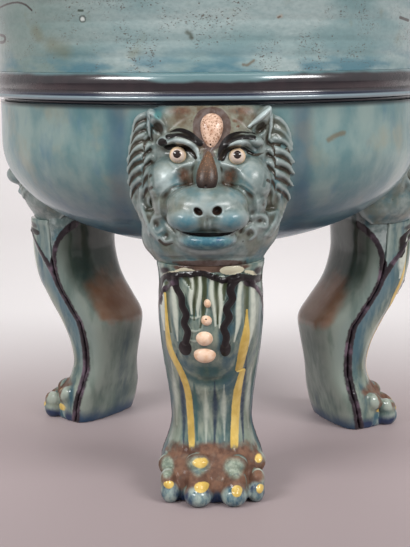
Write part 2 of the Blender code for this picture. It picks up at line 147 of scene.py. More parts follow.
class Glaze:
    """A material whose nodes are added by the lines that describe it."""

    def __init__(self, name, roughness):
        self.material = bpy.data.materials.new(name)
        self.material.use_nodes = True
        self.tree = self.material.node_tree
        self.shader = self.tree.nodes["Principled BSDF"]
        self.shader.inputs["Roughness"].default_value = roughness
        self.where = self.node("TexCoord", {}, {}, "Object")

    def feed(self, socket, value):
        if isinstance(value, Socket):
            self.tree.links.new(value.output, socket)
        else:
            socket.default_value = value

    def node(self, kind, settings, inputs, output=0):
        """Adds a node: its settings first, then the values or links of its sockets."""
        added = self.tree.nodes.new("ShaderNode" + kind)
        for name, value in settings.items():
            setattr(added, name, value)
        for key, value in inputs.items():
            if isinstance(key, str):
                socket = next(s for s in added.inputs if s.name == key and s.enabled)
            else:
                socket = added.inputs[key]
            self.feed(socket, value)
        if isinstance(output, str):
            return Socket(self, next(s for s in added.outputs if s.name == output and s.enabled))
        return Socket(self, added.outputs[output])

    def painted(self, name):
        """What the mesh carries at each point under this name."""
        return self.node("Attribute", {"attribute_name": name}, {}, "Fac")

    def stretched(self, across, back, up):
        """Coordinates that make a pattern longer along an axis the smaller its number is."""
        return self.vector("MULTIPLY", self.where, (across, back, up))

    def cloud(self, size, detail=3.0, where=None, drift=0.0):
        """Soft noise whose patches are about one size across, from 0 to 1 around 0.5."""
        inputs = {"Vector": where or self.where, "Scale": 1 / size, "Detail": detail, "W": drift}
        return self.node("TexNoise", {"noise_dimensions": "4D"}, inputs, "Fac")

    def specks(self, spacing, radius, where=None):
        """1 in small round specks that stand about one spacing apart, and 0 between them."""
        inputs = {"Vector": where or self.where, "Scale": 1 / spacing}
        away = self.node("TexVoronoi", {}, inputs, "Distance")
        return 1 - away.between(radius / spacing * 0.6, radius / spacing)

    def place(self, axis):
        """How far along X, Y or Z a point lies, in metres."""
        return self.node("SeparateXYZ", {}, {0: self.where}, axis)

    def vector(self, operation, first, second, output=0):
        return self.node("VectorMath", {"operation": operation}, {0: first, 1: second}, output)

    def stroke(self, path, width, soft=0.3, ragged=0.5):
        """1 on a stroke through points across and up in millimetres, on the front of the bowl."""
        at = self.vector("MULTIPLY", self.where, (1, 0, 1))
        nearest = None
        if len(path) > 2:
            path = smooth_path(path, 9)
        for (x0, z0), (x1, z1) in zip(path, path[1:]):
            step = Vector((x1 - x0, 0, z1 - z0)) * MM
            offset = self.vector("SUBTRACT", at, Vector((x0, 0, z0)) * MM)
            along = self.vector("DOT_PRODUCT", offset, step / step.length_squared, "Value")
            reach = {0: step, "Scale": along.at_least(0.0).up_to(1.0)}
            reach = self.node("VectorMath", {"operation": "SCALE"}, reach)
            away = self.vector("LENGTH", self.vector("SUBTRACT", offset, reach), (0, 0, 0), "Value")
            nearest = nearest.up_to(away) if nearest else away
        half = width / 2 * MM
        nearest = nearest + (self.cloud(0.0012, 2.0) - 0.5) * (ragged * half)
        front = 1 - self.place("Y").between(-0.03, -0.01)
        return (1 - nearest.between(half * (1 - soft), half)) * front

    def blend(self, share, first, second):
        """A colour between two colours. Each is a socket, or a screen colour from 0 to 255."""
        first, second = (c if isinstance(c, Socket) else linear(*c) for c in (first, second))
        inputs = {"Factor": share, "A": first, "B": second}
        return self.node("Mix", {"data_type": "RGBA"}, inputs, "Result")

    def vary(self, name, value):
        """Links a socket of the shader to what varies over the piece."""
        self.feed(self.shader.inputs[name], value)

    def dented(self, relief, depth):
        """Fine relief too small for the mesh."""
        inputs = {"Height": relief, "Strength": 1.0, "Distance": depth}
        self.vary("Normal", self.node("Bump", {}, inputs, "Normal"))


print("helper: glazes")

# %% [markdown]
# ## Table and backdrop
#
# The bowl stands on a plain pale table that runs into a white backdrop with no edge. One sheet that
# bends up behind the bowl does both. The paper is darker close to the lens, so its colour changes with
# the distance back.

# %% Table and backdrop
TABLE_WIDTH = 4.0
TABLE_REACH_BACK = 1.4
TABLE_REACH_FRONT = 1.6
SWEEP_RADIUS = 0.5
BACKDROP_HEIGHT = 1.8


def sweep_mesh():
    """One sheet: the table, a quarter round behind it, and the wall above that."""
    line = [(-TABLE_REACH_FRONT, 0.0), (TABLE_REACH_BACK - SWEEP_RADIUS, 0.0)]
    for step in range(1, 13):
        angle = step / 12 * pi / 2
        out = TABLE_REACH_BACK - SWEEP_RADIUS + SWEEP_RADIUS * sin(angle)
        line.append((out, SWEEP_RADIUS * (1 - cos(angle))))
    line.append((TABLE_REACH_BACK, BACKDROP_HEIGHT))
    points = [(side * TABLE_WIDTH / 2, y, z) for y, z in line for side in (-1, 1)]
    faces = [(2 * i, 2 * i + 1, 2 * i + 3, 2 * i + 2) for i in range(len(line) - 1)]
    mesh = bpy.data.meshes.new("table_and_backdrop")
    mesh.from_pydata(points, [], faces)
    mesh.shade_smooth()
    return mesh


table = bpy.data.objects.new("table_and_backdrop", sweep_mesh())
bpy.context.scene.collection.objects.link(table)

paper = Glaze("table_paper", 0.6)
far = paper.place("Y").between(-0.03, 0.40)
near = 1 - paper.place("Y").between(-0.44, 0.10)
grey = paper.blend(near, (182, 165, 166), (112, 103, 104))
paper.vary("Base Color", paper.blend(far, grey, (246, 242, 242)))
table.data.materials.append(paper.material)
print("table:", TABLE_WIDTH, "m wide")

# %% [markdown]
# ## Lights
#
# A photographer's light tent is white all round. The two small boxes at the sides of the lens give the
# wet glaze its streaks of light, and the large one overhead fills the shadows. Area lights are soft and
# square as such boxes are, and a pale world stands for the tent.

# %% Lights
TENT_MIDDLE_HEIGHT = 0.16


def soft_box(name, azimuth, elevation, distance, size, power):
    """A square light that faces the bowl. Azimuth 0 is where the camera stands."""
    light = bpy.data.lights.new(name, "AREA")
    light.shape = "RECTANGLE"
    light.size, light.size_y = size
    light.energy = power
    lamp = bpy.data.objects.new(name, light)
    turn = Euler((radians(90 - elevation), 0, radians(azimuth))).to_matrix().to_4x4()
    middle = Matrix.Translation((0, 0, TENT_MIDDLE_HEIGHT))
    lamp.matrix_world = middle @ turn @ Matrix.Translation((0, 0, distance))
    bpy.context.scene.collection.objects.link(lamp)


soft_box("left_soft_box", -44, 31, 1.2, (0.50, 0.24), 7.5)
soft_box("right_soft_box", 43, 31, 1.2, (0.54, 0.24), 8.0)
soft_box("top_soft_box", 0, 78, 1.3, (1.2, 1.2), 7.0)

world = bpy.data.worlds.new("light_tent")
world.use_nodes = True
tent = world.node_tree.nodes["Background"]
tent.inputs["Color"].default_value = (1.0, 0.985, 0.98, 1.0)
tent.inputs["Strength"].default_value = 0.48
bpy.context.scene.world = world
bpy.context.scene.view_settings.view_transform = "Standard"
print("lights: two soft boxes and one overhead")

# %% [markdown]
# ## Soft forms and carved lines
#
# Pressed clay has two scales. The big masses are soft lumps that flow into each other: a few ellipsoids,
# grown together by a voxel remesh, do that. The fine relief is what a mould maker cuts with a small
# tool, line by line: `Relief` raises or sinks the clay along a path, and can paint the same path, so
# that a colour always lies on the form that it belongs to. All its sizes are in millimetres.

# %% Paths
def smooth_path(points, count=28):
    """A smooth line through a few points of any number of coordinates."""
    points = np.asarray(points, float)
    knots = np.vstack([2 * points[0] - points[1], points, 2 * points[-1] - points[-2]])
    spans = len(points) - 1
    line = []
    for k in np.linspace(0, spans, count):
        i = min(int(k), spans - 1)
        t = k - i
        a, b, c, d = knots[i : i + 4]
        bend = (2 * a - 5 * b + 4 * c - d) * t**2 + (3 * b - a - 3 * c + d) * t**3
        line.append(0.5 * (2 * b + (c - a) * t + bend))
    return np.array(line)


def soft_step(value, low, high):
    share = np.clip((value - low) / (high - low), 0, 1)
    return share * share * (3 - 2 * share)


print("helpers: smooth paths and soft steps")


# %% Relief
class Relief:
    """Fine relief and paint on points that are seen from one side, across and up in millimetres."""

    def __init__(self, across, up):
        self.at = np.column_stack([across, up])
        self.rise = np.zeros(len(across))
        self.coats = {}

    def along(self, path, widest):
        """The points near a path: which they are, how far off it they lie, and how far along it."""
        line = smooth_path(path)
        low, high = line.min(axis=0) - widest, line.max(axis=0) + widest
        near = np.where(((self.at > low) & (self.at < high)).all(axis=1))[0]
        away = np.full(len(near), 1e9)
        share = np.zeros(len(near))
        for i, (a, b) in enumerate(zip(line, line[1:])):
            step = b - a
            t = np.clip((self.at[near] - a) @ step / (step @ step + 1e-12), 0, 1)
            gap = np.hypot(*(self.at[near] - a - t[:, None] * step).T)
            closer = gap < away
            away[closer] = gap[closer]
            share[closer] = (i + t[closer]) / (len(line) - 1)
        return near, away, share

    def line(self, path, width, rise, coat=None, ends=(1.0, 1.0), strength=1.0, crisp=0.55):
        """Raises a rounded line, or sinks it where rise is negative. Ends tell its width at each end."""
        near, away, share = self.along(path, width * 1.6)
        swell = np.where(
            share < 0.5,
            ends[0] + (1 - ends[0]) * soft_step(share, 0, 0.5),
            ends[1] + (1 - ends[1]) * soft_step(1 - share, 0, 0.5),
        )
        reach = np.maximum(width * swell, 0.15)
        bell = np.clip(1 - (away / reach) ** 2, 0, 1)
        self.rise[near] += rise * swell * bell**1.5
        if coat:
            self.cover(coat, near, strength * (1 - soft_step(away, reach * crisp, reach * 0.95)))

    def lump(self, middle, sizes, rise, roll=0.0, coat=None, strength=1.0, soft=0.35):
        """Raises or sinks an ellipse, and paints it."""
        turn = radians(roll)
        offset = self.at - np.asarray(middle)
        along = offset[:, 0] * cos(turn) + offset[:, 1] * sin(turn)
        aside = offset[:, 1] * cos(turn) - offset[:, 0] * sin(turn)
        away = np.hypot(along / sizes[0], aside / sizes[1])
        near = np.where(away < 1.0)[0]
        self.rise[near] += rise * np.clip(1 - away[near] ** 2, 0, 1) ** 1.5
        if coat:
            self.cover(coat, near, strength * (1 - soft_step(away[near], 1 - soft, 1.0)))

    def cover(self, coat, near, amount):
        layer = self.coats.setdefault(coat, np.zeros(len(self.at)))
        layer[near] = np.maximum(layer[near], amount)


print("helper: relief")

# %% [markdown]
# ### Meshes as arrays
#
# A mesh of a hundred thousand points is slow to change one point at a time. Blender can hand over all of
# them at once as one array, which these helpers read, smooth and write back. The same arrays tell how
# deep each point lies in its surroundings, which the glazes use later.

# %% Meshes as arrays
def points_of(mesh):
    flat = np.zeros(len(mesh.vertices) * 3, np.float32)
    mesh.vertices.foreach_get("co", flat)
    return flat.reshape(-1, 3).astype(float)


def normals_of(mesh):
    flat = np.zeros(len(mesh.vertices) * 3, np.float32)
    mesh.vertices.foreach_get("normal", flat)
    return flat.reshape(-1, 3).astype(float)


def move_points(mesh, points):
    mesh.vertices.foreach_set("co", points.astype(np.float32).ravel())
    mesh.update()


def carry(mesh, name, values):
    """Lets each point of the mesh carry a value that a glaze can read."""
    layer = mesh.attributes.new(name, "FLOAT", "POINT")
    layer.data.foreach_set("value", values.astype(np.float32))


def ends_of_edges(mesh):
    flat = np.zeros(len(mesh.edges) * 2, np.int32)
    mesh.edges.foreach_get("vertices", flat)
    return flat.reshape(-1, 2)


def smoothed(points, edges, rounds):
    """Each point moves towards the mean of its neighbours, so that fine relief fades."""
    first, second = edges[:, 0], edges[:, 1]
    count = len(points)
    links = np.bincount(first, minlength=count) + np.bincount(second, minlength=count)
    links = np.maximum(links, 1)[:, None]
    for _ in range(rounds):
        total = np.column_stack(
            [
                np.bincount(first, points[second, axis], count)
                + np.bincount(second, points[first, axis], count)
                for axis in range(3)
            ]
        )
        points = 0.4 * points + 0.6 * total / links
    return points


def depth_of_relief(mesh, rounds):
    """How far each point lies under the mean of its surroundings, in metres. Ridges are negative."""
    points = points_of(mesh)
    mean = smoothed(points, ends_of_edges(mesh), rounds)
    return ((mean - points) * normals_of(mesh)).sum(axis=1)


GROOVE_DEPTH = 0.24
HOLLOW_DEPTH = 1.4


def carry_pooling(mesh):
    """Glaze runs off sharp ridges and fills grooves and hollows, at a fine and at a broad scale."""
    groove = depth_of_relief(mesh, 8) / (GROOVE_DEPTH * MM)
    hollow = depth_of_relief(mesh, 90) / (HOLLOW_DEPTH * MM)
    carry(mesh, "groove", np.clip(0.5 + 0.5 * groove, 0, 1))
    carry(mesh, "hollow", np.clip(0.5 + 0.5 * hollow, 0, 1))


print("helpers: meshes as arrays")

# %% [markdown]
# ### Growing forms together
#
# `Clay` gathers balls, ropes and lofts with no care for how they overlap. A voxel remesh then lays one
# skin over them all, and a little smoothing softens the joints, much as a damp sponge does.

# %% Growing forms together
def add_object(name, mesh, glaze=None):
    piece = bpy.data.objects.new(name, mesh)
    bpy.context.scene.collection.objects.link(piece)
    if glaze:
        mesh.materials.clear()
        mesh.materials.append(glaze.material)
    return piece


def finished_mesh(piece, name):
    """The piece's mesh with its modifiers applied. The piece itself goes."""
    bpy.context.view_layer.update()
    graph = bpy.context.evaluated_depsgraph_get()
    mesh = bpy.data.meshes.new_from_object(piece.evaluated_get(graph))
    mesh.name = name
    bpy.data.objects.remove(piece)
    return mesh


def facing_out(mesh):
    bm = bmesh.new()
    bm.from_mesh(mesh)
    bmesh.ops.recalc_face_normals(bm, faces=bm.faces)
    bm.to_mesh(mesh)
    bm.free()


print("helpers: objects and their meshes")


# %% Clay
class Clay:
    """Soft forms, gathered as points and faces. Sizes are millimetres: across, out from the wall, up."""

    def __init__(self):
        self.points = np.zeros((0, 3))
        self.faces = []

    def add(self, points, faces):
        start = len(self.points)
        self.points = np.vstack([self.points, points])
        self.faces += [tuple(start + i for i in face) for face in faces]

    def ball(self, middle, sizes, nod=0.0, roll=0.0, taper=0.0, fine=(32, 20)):
        """An ellipsoid that may nod forward, roll sideways, and widen upwards."""
        points, faces = unit_ball(*fine)
        points[:, 0] *= 1 + taper * points[:, 2]
        turn = np.array(Euler((radians(nod), radians(roll), 0)).to_matrix())
        across, out, up = middle
        self.add((points * sizes) @ turn.T + (across, -(WALL + out), up), faces)

    def rope(self, path):
        """A soft rope through points of (across, out, up, radius)."""
        for across, out, up, radius in smooth_path(path, 7 * len(path)):
            self.ball((across, out, up), (radius, radius, radius), fine=(10, 8))

    def loft(self, rings):
        """A closed skin over rings of (across, out, up), lowest first, with as many points in each."""
        count = len(rings[0])
        points = np.vstack(rings) * (1, -1, 1) - (0, WALL, 0)
        faces = []
        for low in range(0, (len(rings) - 1) * count, count):
            for i in range(count):
                j = (i + 1) % count
                faces.append((low + i, low + j, low + count + j, low + count + i))
        top = (len(rings) - 1) * count
        faces.append(tuple(range(count))[::-1])
        faces.append(tuple(range(top, top + count)))
        self.add(points, faces)

    def mesh(self, name):
        mesh = bpy.data.meshes.new(name)
        mesh.from_pydata(self.points * MM, [], self.faces)
        facing_out(mesh)
        return mesh


def unit_ball(segments, rings):
    """Points and faces of a ball, with one point at each pole."""
    points = [(0.0, 0.0, 1.0)]
    for ring in range(1, rings):
        down = pi * ring / rings
        for i in range(segments):
            turn = 2 * pi * i / segments
            points.append((sin(down) * cos(turn), sin(down) * sin(turn), cos(down)))
    points.append((0.0, 0.0, -1.0))
    last = len(points) - 1
    faces = []
    for i in range(segments):
        j = (i + 1) % segments
        faces.append((0, 1 + i, 1 + j))
        faces.append((last, last - segments + j, last - segments + i))
        for ring in range(rings - 2):
            a, b = 1 + ring * segments, 1 + (ring + 1) * segments
            faces.append((a + i, b + i, b + j, a + j))
    return np.array(points), faces


print("helper: clay")


# %% One skin
def grown_together(clay, name, voxel, soften, rounds=1):
    """One skin over all the forms."""
    piece = add_object(name, clay.mesh(name))
    remesh = piece.modifiers.new("grow_together", "REMESH")
    remesh.mode = "VOXEL"
    remesh.voxel_size = voxel * MM
    smooth = piece.modifiers.new("soften", "SMOOTH")
    smooth.factor = 0.5
    smooth.iterations = soften
    for _ in range(rounds):
        finer = piece.modifiers.new("finer", "SUBSURF")
        finer.levels = finer.render_levels = 1
    return finished_mesh(piece, name)


def trimmed(mesh, planes):
    """Cuts the mesh flat at each plane, given by a point and the direction of what goes."""
    bm = bmesh.new()
    bm.from_mesh(mesh)
    for point, away in planes:
        everything = bm.verts[:] + bm.edges[:] + bm.faces[:]
        cut = bmesh.ops.bisect_plane(
            bm, geom=everything, dist=1e-7, plane_co=point, plane_no=away, clear_outer=True
        )
        rim = [item for item in cut["geom_cut"] if isinstance(item, bmesh.types.BMEdge)]
        bmesh.ops.holes_fill(bm, edges=rim, sides=0)
    bm.to_mesh(mesh)
    bm.free()
    return mesh


print("helpers: one skin and trimming")

# %% [markdown]
# ## The turned pieces
#
# A lathe or a wheel makes a solid from one line. Each profile here is a list of (radius, height) in
# millimetres, and `turned_mesh` carries it round in small steps. A thrown wall is never quite true: two
# sums of sines push each point in or out by a fraction of a millimetre.

# %% Turning
TURN_STEPS = 240
SHARP_EDGE = radians(50)
THROWN_UNEVEN = 0.16
RING_UNEVEN = 0.12


def along_profile(corners, spacing):
    """The profile with its long stretches cut into parts about one spacing long, or a little over."""
    line = [corners[0]]
    for (r0, z0), (r1, z1) in zip(corners, corners[1:]):
        parts = max(1, int(np.hypot(r1 - r0, z1 - z0) / spacing))
        line += [(r0 + (r1 - r0) * i / parts, z0 + (z1 - z0) * i / parts) for i in range(1, parts + 1)]
    return np.array(line)


def rounded(line):
    """Cuts off each corner of a closed profile, so that it turns softly."""
    after = np.roll(line, -1, axis=0)
    return np.column_stack([0.75 * line + 0.25 * after, 0.25 * line + 0.75 * after]).reshape(-1, 2)


def turned_mesh(name, profile, closed, uneven):
    """The profile turned round the bowl's axis. An open one starts and ends close to the axis."""
    rows, count = len(profile), TURN_STEPS
    angle = np.arange(count) / count * 2 * pi
    radius = np.repeat(profile[:, 0:1], count, axis=1)
    height = np.repeat(profile[:, 1:2], count, axis=1)
    sway = 0.6 * np.sin(2 * angle + 0.6) + 0.4 * np.sin(5 * angle + height / 31)
    ripple = 0.35 * np.sin(height / 3.1 + angle + 1.3) + 0.25 * np.sin(height / 7.7 - 3 * angle)
    radius = radius + uneven * (sway + ripple) * soft_step(radius, 20, 60)
    points = np.stack([radius * np.cos(angle), radius * np.sin(angle), height], axis=2) * MM
    faces = []
    for row in range(rows if closed else rows - 1):
        low, high = row * count, (row + 1) % rows * count
        for i in range(count):
            j = (i + 1) % count
            faces.append((low + i, high + i, high + j, low + j))
    if not closed:
        faces.append(tuple(range(count)))
        faces.append(tuple(reversed(range((rows - 1) * count, rows * count))))
    mesh = bpy.data.meshes.new(name)
    mesh.from_pydata(points.reshape(-1, 3), [], faces)
    facing_out(mesh)
    mesh.shade_smooth()
    mesh.set_sharp_from_angle(angle=SHARP_EDGE)
    return mesh


print("helpers: turning, in", TURN_STEPS, "steps")

# %% [markdown]
# ### Belly
#
# The thrown lower bowl is a deep saucer with an upright wall and a flat floor inside. Its curve is a
# quarter ellipse, so one formula gives its radius at any height, and the masks are fitted to it later.

# %% The belly's profile
BELLY_TOP = 203.5
BELLY_TURN = 180.0
BELLY_BOTTOM = 120.0
BELLY_WALL = 9.0
FLOOR_THICKNESS = 10.0
FLOOR_FLAT_RADIUS = 30.0
AXIS_GAP = 0.4


def belly_radius(height):
    """The belly's outer radius at a height: upright above the turn, a quarter ellipse below it."""
    drop = np.clip((BELLY_TURN - height) / (BELLY_TURN - BELLY_BOTTOM), 0, 1)
    return WALL * np.sqrt(1 - drop**2)


def belly_corners():
    depth = BELLY_TURN - BELLY_BOTTOM
    inner = WALL - BELLY_WALL
    inner_depth = depth - FLOOR_THICKNESS
    turns = np.linspace(0, pi / 2, 60)
    outside = [(WALL * cos(a), BELLY_TURN - depth * sin(a)) for a in turns if WALL * cos(a) > AXIS_GAP]
    inside = [(inner * cos(a), BELLY_TURN - inner_depth * sin(a)) for a in turns[::-1]]
    inside = [(r, z) for r, z in inside if r > FLOOR_FLAT_RADIUS]
    floor = BELLY_BOTTOM + FLOOR_THICKNESS
    return (
        [(AXIS_GAP, floor), (FLOOR_FLAT_RADIUS, floor)]
        + inside
        + [(inner, BELLY_TOP), (WALL, BELLY_TOP)]
        + outside
        + [(AXIS_GAP, BELLY_BOTTOM)]
    )


belly_line = along_profile(belly_corners(), spacing=1.6)
belly_mesh = turned_mesh("bowl_belly", belly_line, closed=False, uneven=THROWN_UNEVEN)
carry_pooling(belly_mesh)
print("belly:", len(belly_mesh.polygons), "faces")

# %% [markdown]
# ### Ring and collar
#
# The ring is one coil of clay, pressed over the joint and turned with a rib: a rounded band, a thin lip
# under it and an undercut below that. The band is an arc, the rest a few corners, and each corner is
# then cut off once. On the collar, the fingers of the thrower left shallow lines 7 to 10 mm apart.

# %% Ring and collar
BAND_OUT = 115.9
BAND_UP = 214.75
BAND_RADIUS = 7.1
BAND_ARC = np.radians(np.linspace(-32, 43, 13))
RING_CORNERS = [(110.0, 203.8), (117.2, 203.8), (117.2, 205.4), (118.4, 205.9), (123.4, 206.1)]
RING_CORNERS += [(124.1, 207.2), (123.8, 208.2), (122.8, 208.9), (122.2, 209.5)]
RING_CORNERS += [(BAND_OUT + BAND_RADIUS * cos(a), BAND_UP + BAND_RADIUS * sin(a)) for a in BAND_ARC]
RING_CORNERS += [(110.0, 219.6)]
COLLAR_FOOT = 219.7
COLLAR_FOOT_RADIUS = 120.5
COLLAR_WALL = 8.0
RIM_RADIUS = 155.3
RIM_HEIGHT = 299.6
RIM_BEAD = 5.2
FLARE_POWER = 3.2
THROWING_LINES = (227.0, 234.4, 244.3, 253.8, 263.0, 271.6)
THROWING_DEPTH = 0.32
THROWING_WIDTH = 1.3


def collar_radius(height):
    rise = np.clip((height - COLLAR_FOOT) / (RIM_HEIGHT - RIM_BEAD - COLLAR_FOOT), 0, 1)
    radius = COLLAR_FOOT_RADIUS + (RIM_RADIUS - RIM_BEAD - COLLAR_FOOT_RADIUS) * rise**FLARE_POWER
    for line in THROWING_LINES:
        radius = radius - THROWING_DEPTH * np.exp(-(((height - line) / THROWING_WIDTH) ** 2))
    return radius


def collar_corners():
    """Up the outside, round the beaded rim, and down the inside at the wall's thickness."""
    heights = np.linspace(COLLAR_FOOT, RIM_HEIGHT - RIM_BEAD, 60)
    outer = np.column_stack([collar_radius(heights), heights])
    slope = np.gradient(outer[:, 0], heights)
    inward = np.column_stack([-np.ones(len(heights)), slope]) / np.sqrt(1 + slope**2)[:, None]
    inner = outer + COLLAR_WALL * inward
    inner[0, 1] = COLLAR_FOOT
    middle = np.array([RIM_RADIUS - RIM_BEAD, RIM_HEIGHT - RIM_BEAD])
    clear = lambda line: line[np.hypot(*(line - middle).T) > RIM_BEAD * 1.6]
    turns = np.radians(np.linspace(-75, 150, 20))
    bead = middle + RIM_BEAD * np.column_stack([np.cos(turns), np.sin(turns)])
    return np.vstack([clear(outer), bead, clear(inner)[::-1]])


ring_line = rounded(along_profile(RING_CORNERS + RING_CORNERS[:1], spacing=0.8)[:-1])
ring_mesh = turned_mesh("ring_moulding", ring_line, closed=True, uneven=RING_UNEVEN)
carry_pooling(ring_mesh)
collar_line = along_profile(list(map(tuple, collar_corners())), spacing=1.4)
collar_mesh = turned_mesh("bowl_collar", collar_line, closed=True, uneven=THROWN_UNEVEN)
carry_pooling(collar_mesh)
print("ring:", len(ring_mesh.polygons), "faces; collar:", len(collar_mesh.polygons), "faces")

# %% [markdown]
# ## The lion masks
#
# The mask is pressed in a mould, and three copies stand round the bowl. Its big masses come first: the
# skull, the muzzle, the lips, the cheeks, the brows and the ears. The face isn't even. The muzzle leans
# a little to the left, and the right brow sits lower, so the forms are placed one by one where the
# photograph shows them.

# %% Masses of the face
MANE_BED_MIDDLE = (0, -19.0, 172.0)
MANE_BED_SIZES = (41.0, 26.5, 40.0)
# Each form: where it stands across, out and up; its three half sizes; its nod, roll and taper.
FACE_FORMS = [
    ((0, -13.0, 176.0), (30.5, 27.0, 31.0), 0, 0, 0),  # skull
    ((0, -5.0, 194.0), (32.5, 9.4, 16.0), 0, 0, 0),  # forehead, up to the ring
    (MANE_BED_MIDDLE, MANE_BED_SIZES, 0, 0, 0),
    ((-27.5, -16.0, 152.0), (9.5, 12.5, 15.0), 0, -14, 0),  # beds of the lower locks
    ((27.5, -16.0, 152.0), (9.5, 12.5, 15.0), 0, 14, 0),
    ((-1.2, 10.5, 171.0), (7.0, 11.0, 15.0), -28, 0, 0),  # bridge of the nose
    ((-1.4, 19.0, 157.0), (19.4, 16.0, 10.6), 0, 0, 0.06),  # muzzle
    ((-10.4, 23.4, 152.2), (10.4, 12.4, 7.2), 0, 4, 0),
    ((8.2, 23.4, 152.2), (10.6, 12.4, 7.2), 0, -4, 0),
    ((-1.3, 23.0, 151.4), (6.5, 11.0, 5.8), 0, 0, 0),
    ((-1.3, 20.4, 141.6), (14.4, 12.0, 5.4), 0, 0, 0),  # lower lip
    ((0, -7.0, 152.0), (24.0, 24.0, 20.0), 0, 0, 0),  # jaw
    ((-1.2, 10.0, 139.4), (17.0, 12.0, 7.5), 0, 0, 0),  # chin
    ((-19.4, 3.0, 167.0), (11.0, 13.6, 13.0), 0, 8, 0),  # cheeks
    ((18.8, 3.0, 167.0), (11.0, 13.6, 13.0), 0, -8, 0),
    ((-19.5, 4.0, 158.0), (9.0, 12.0, 10.0), 0, 0, 0),
    ((19.0, 4.0, 158.0), (9.0, 12.0, 10.0), 0, 0, 0),
    ((-12.0, 8.0, 187.4), (7.6, 7.0, 3.6), 0, 18, 0),  # brows
    ((-19.8, 4.2, 187.8), (6.6, 7.0, 3.0), 0, -20, 0),
    ((12.0, 8.0, 186.2), (7.6, 7.0, 3.6), 0, -24, 0),
    ((20.0, 4.2, 187.2), (6.6, 7.0, 3.0), 0, 14, 0),
    ((-25.2, -1.0, 196.4), (3.4, 6.6, 7.4), 0, -38, 0),  # ears
    ((25.2, -1.0, 197.2), (3.4, 6.6, 7.8), 0, 36, 0),
]

LEDGE = 127.0
LEDGE_GAP = 0.1
SEAM = -14.0  # where the leg's two halves meet at its top, out from the wall
SEAM_GAP = 0.15
# The neck narrows down to the leg. Each ring: its height, half width, reach in front of the seam, and
# how far its middle stands to the right.
NECK_RINGS = np.array(
    [
        (124.0, 26.8, 26.2, -0.8),
        (127.0, 27.4, 26.8, -0.9),
        (129.6, 29.2, 28.0, -1.2),
        (133.0, 31.8, 29.8, -1.4),
        (137.5, 34.0, 31.4, -0.6),
        (145.0, 34.8, 33.0, 0.4),
        (152.0, 34.4, 33.0, 0.6),
    ]
)


def neck_size(height):
    """The neck's half width, its reach in front of the seam and its middle at a height."""
    line = smooth_path(NECK_RINGS, 80)
    return [np.interp(height, line[:, 0], line[:, column]) for column in (1, 2, 3)]


def neck_loft():
    rings = []
    turns = np.linspace(0, 2 * pi, 72, endpoint=False)
    for height in np.linspace(NECK_RINGS[0, 0], NECK_RINGS[-1, 0], 26):
        wide, deep, middle = neck_size(height)
        across, out = middle + wide * np.sin(turns), SEAM + deep * np.cos(turns)
        rings.append(np.column_stack([across, out, np.full(len(turns), height)]))
    return rings


print("mask:", len(FACE_FORMS), "forms and a neck")

# %% [markdown]
# ### The mane
#
# The locks are soft ropes of clay on the bed of the mane. An outer row of hooked locks hangs outwards, a
# row of smaller ones follows the edge of the face, and below them lie long strands and tight curls.
# `mane_floor` tells how far out the ground under a lock lies, so that each one needs only its line
# across and up.

# %% Mane
DEEPEST_FLOOR = -15.0
# Each lock: points across and up, then its radius at the root and at the tip.
LEFT_LOCKS = [
    ([(-31.2, 199.4), (-35.2, 197.6), (-37.4, 193.4)], 1.7, 1.0),
    ([(-31.8, 194.6), (-36.2, 192.4), (-38.6, 187.8)], 1.8, 1.0),
    ([(-32.4, 189.6), (-36.9, 187.4), (-39.7, 182.6)], 1.9, 1.0),
    ([(-33.0, 184.6), (-37.6, 182.0), (-40.6, 177.0)], 1.9, 1.0),
    ([(-33.4, 179.4), (-38.0, 176.6), (-41.0, 171.4)], 1.9, 1.0),
    ([(-34.0, 173.8), (-38.2, 170.6), (-40.8, 165.2)], 1.9, 1.0),
    ([(-34.2, 168.2), (-37.8, 164.4), (-39.8, 158.6)], 1.8, 1.1),
    ([(-29.4, 190.0), (-31.6, 187.6), (-32.0, 183.6)], 1.4, 1.0),
    ([(-29.0, 184.6), (-31.8, 182.0), (-32.6, 178.0)], 1.4, 1.0),
    ([(-28.8, 179.0), (-31.8, 176.2), (-32.8, 172.0)], 1.5, 1.0),
    ([(-28.4, 173.2), (-31.4, 170.6), (-33.0, 166.2)], 1.5, 1.0),
    ([(-27.8, 167.6), (-31.0, 165.0), (-32.8, 160.4)], 1.5, 1.0),
    ([(-38.6, 160.4), (-37.6, 154.6), (-34.4, 148.6), (-29.6, 142.2)], 1.6, 1.3),
    ([(-33.8, 162.6), (-34.0, 156.0), (-31.8, 149.4), (-28.0, 143.4), (-24.4, 139.6)], 1.6, 1.3),
    ([(-25.4, 161.4), (-28.8, 160.4), (-30.2, 156.6), (-28.2, 152.8), (-25.0, 153.2)], 1.4, 1.1),
    ([(-23.6, 151.4), (-27.2, 150.0), (-28.2, 146.2), (-26.0, 143.2), (-23.2, 144.6)], 1.4, 1.1),
    ([(-24.6, 141.2), (-21.8, 139.2), (-18.2, 140.2)], 1.2, 0.9),
]
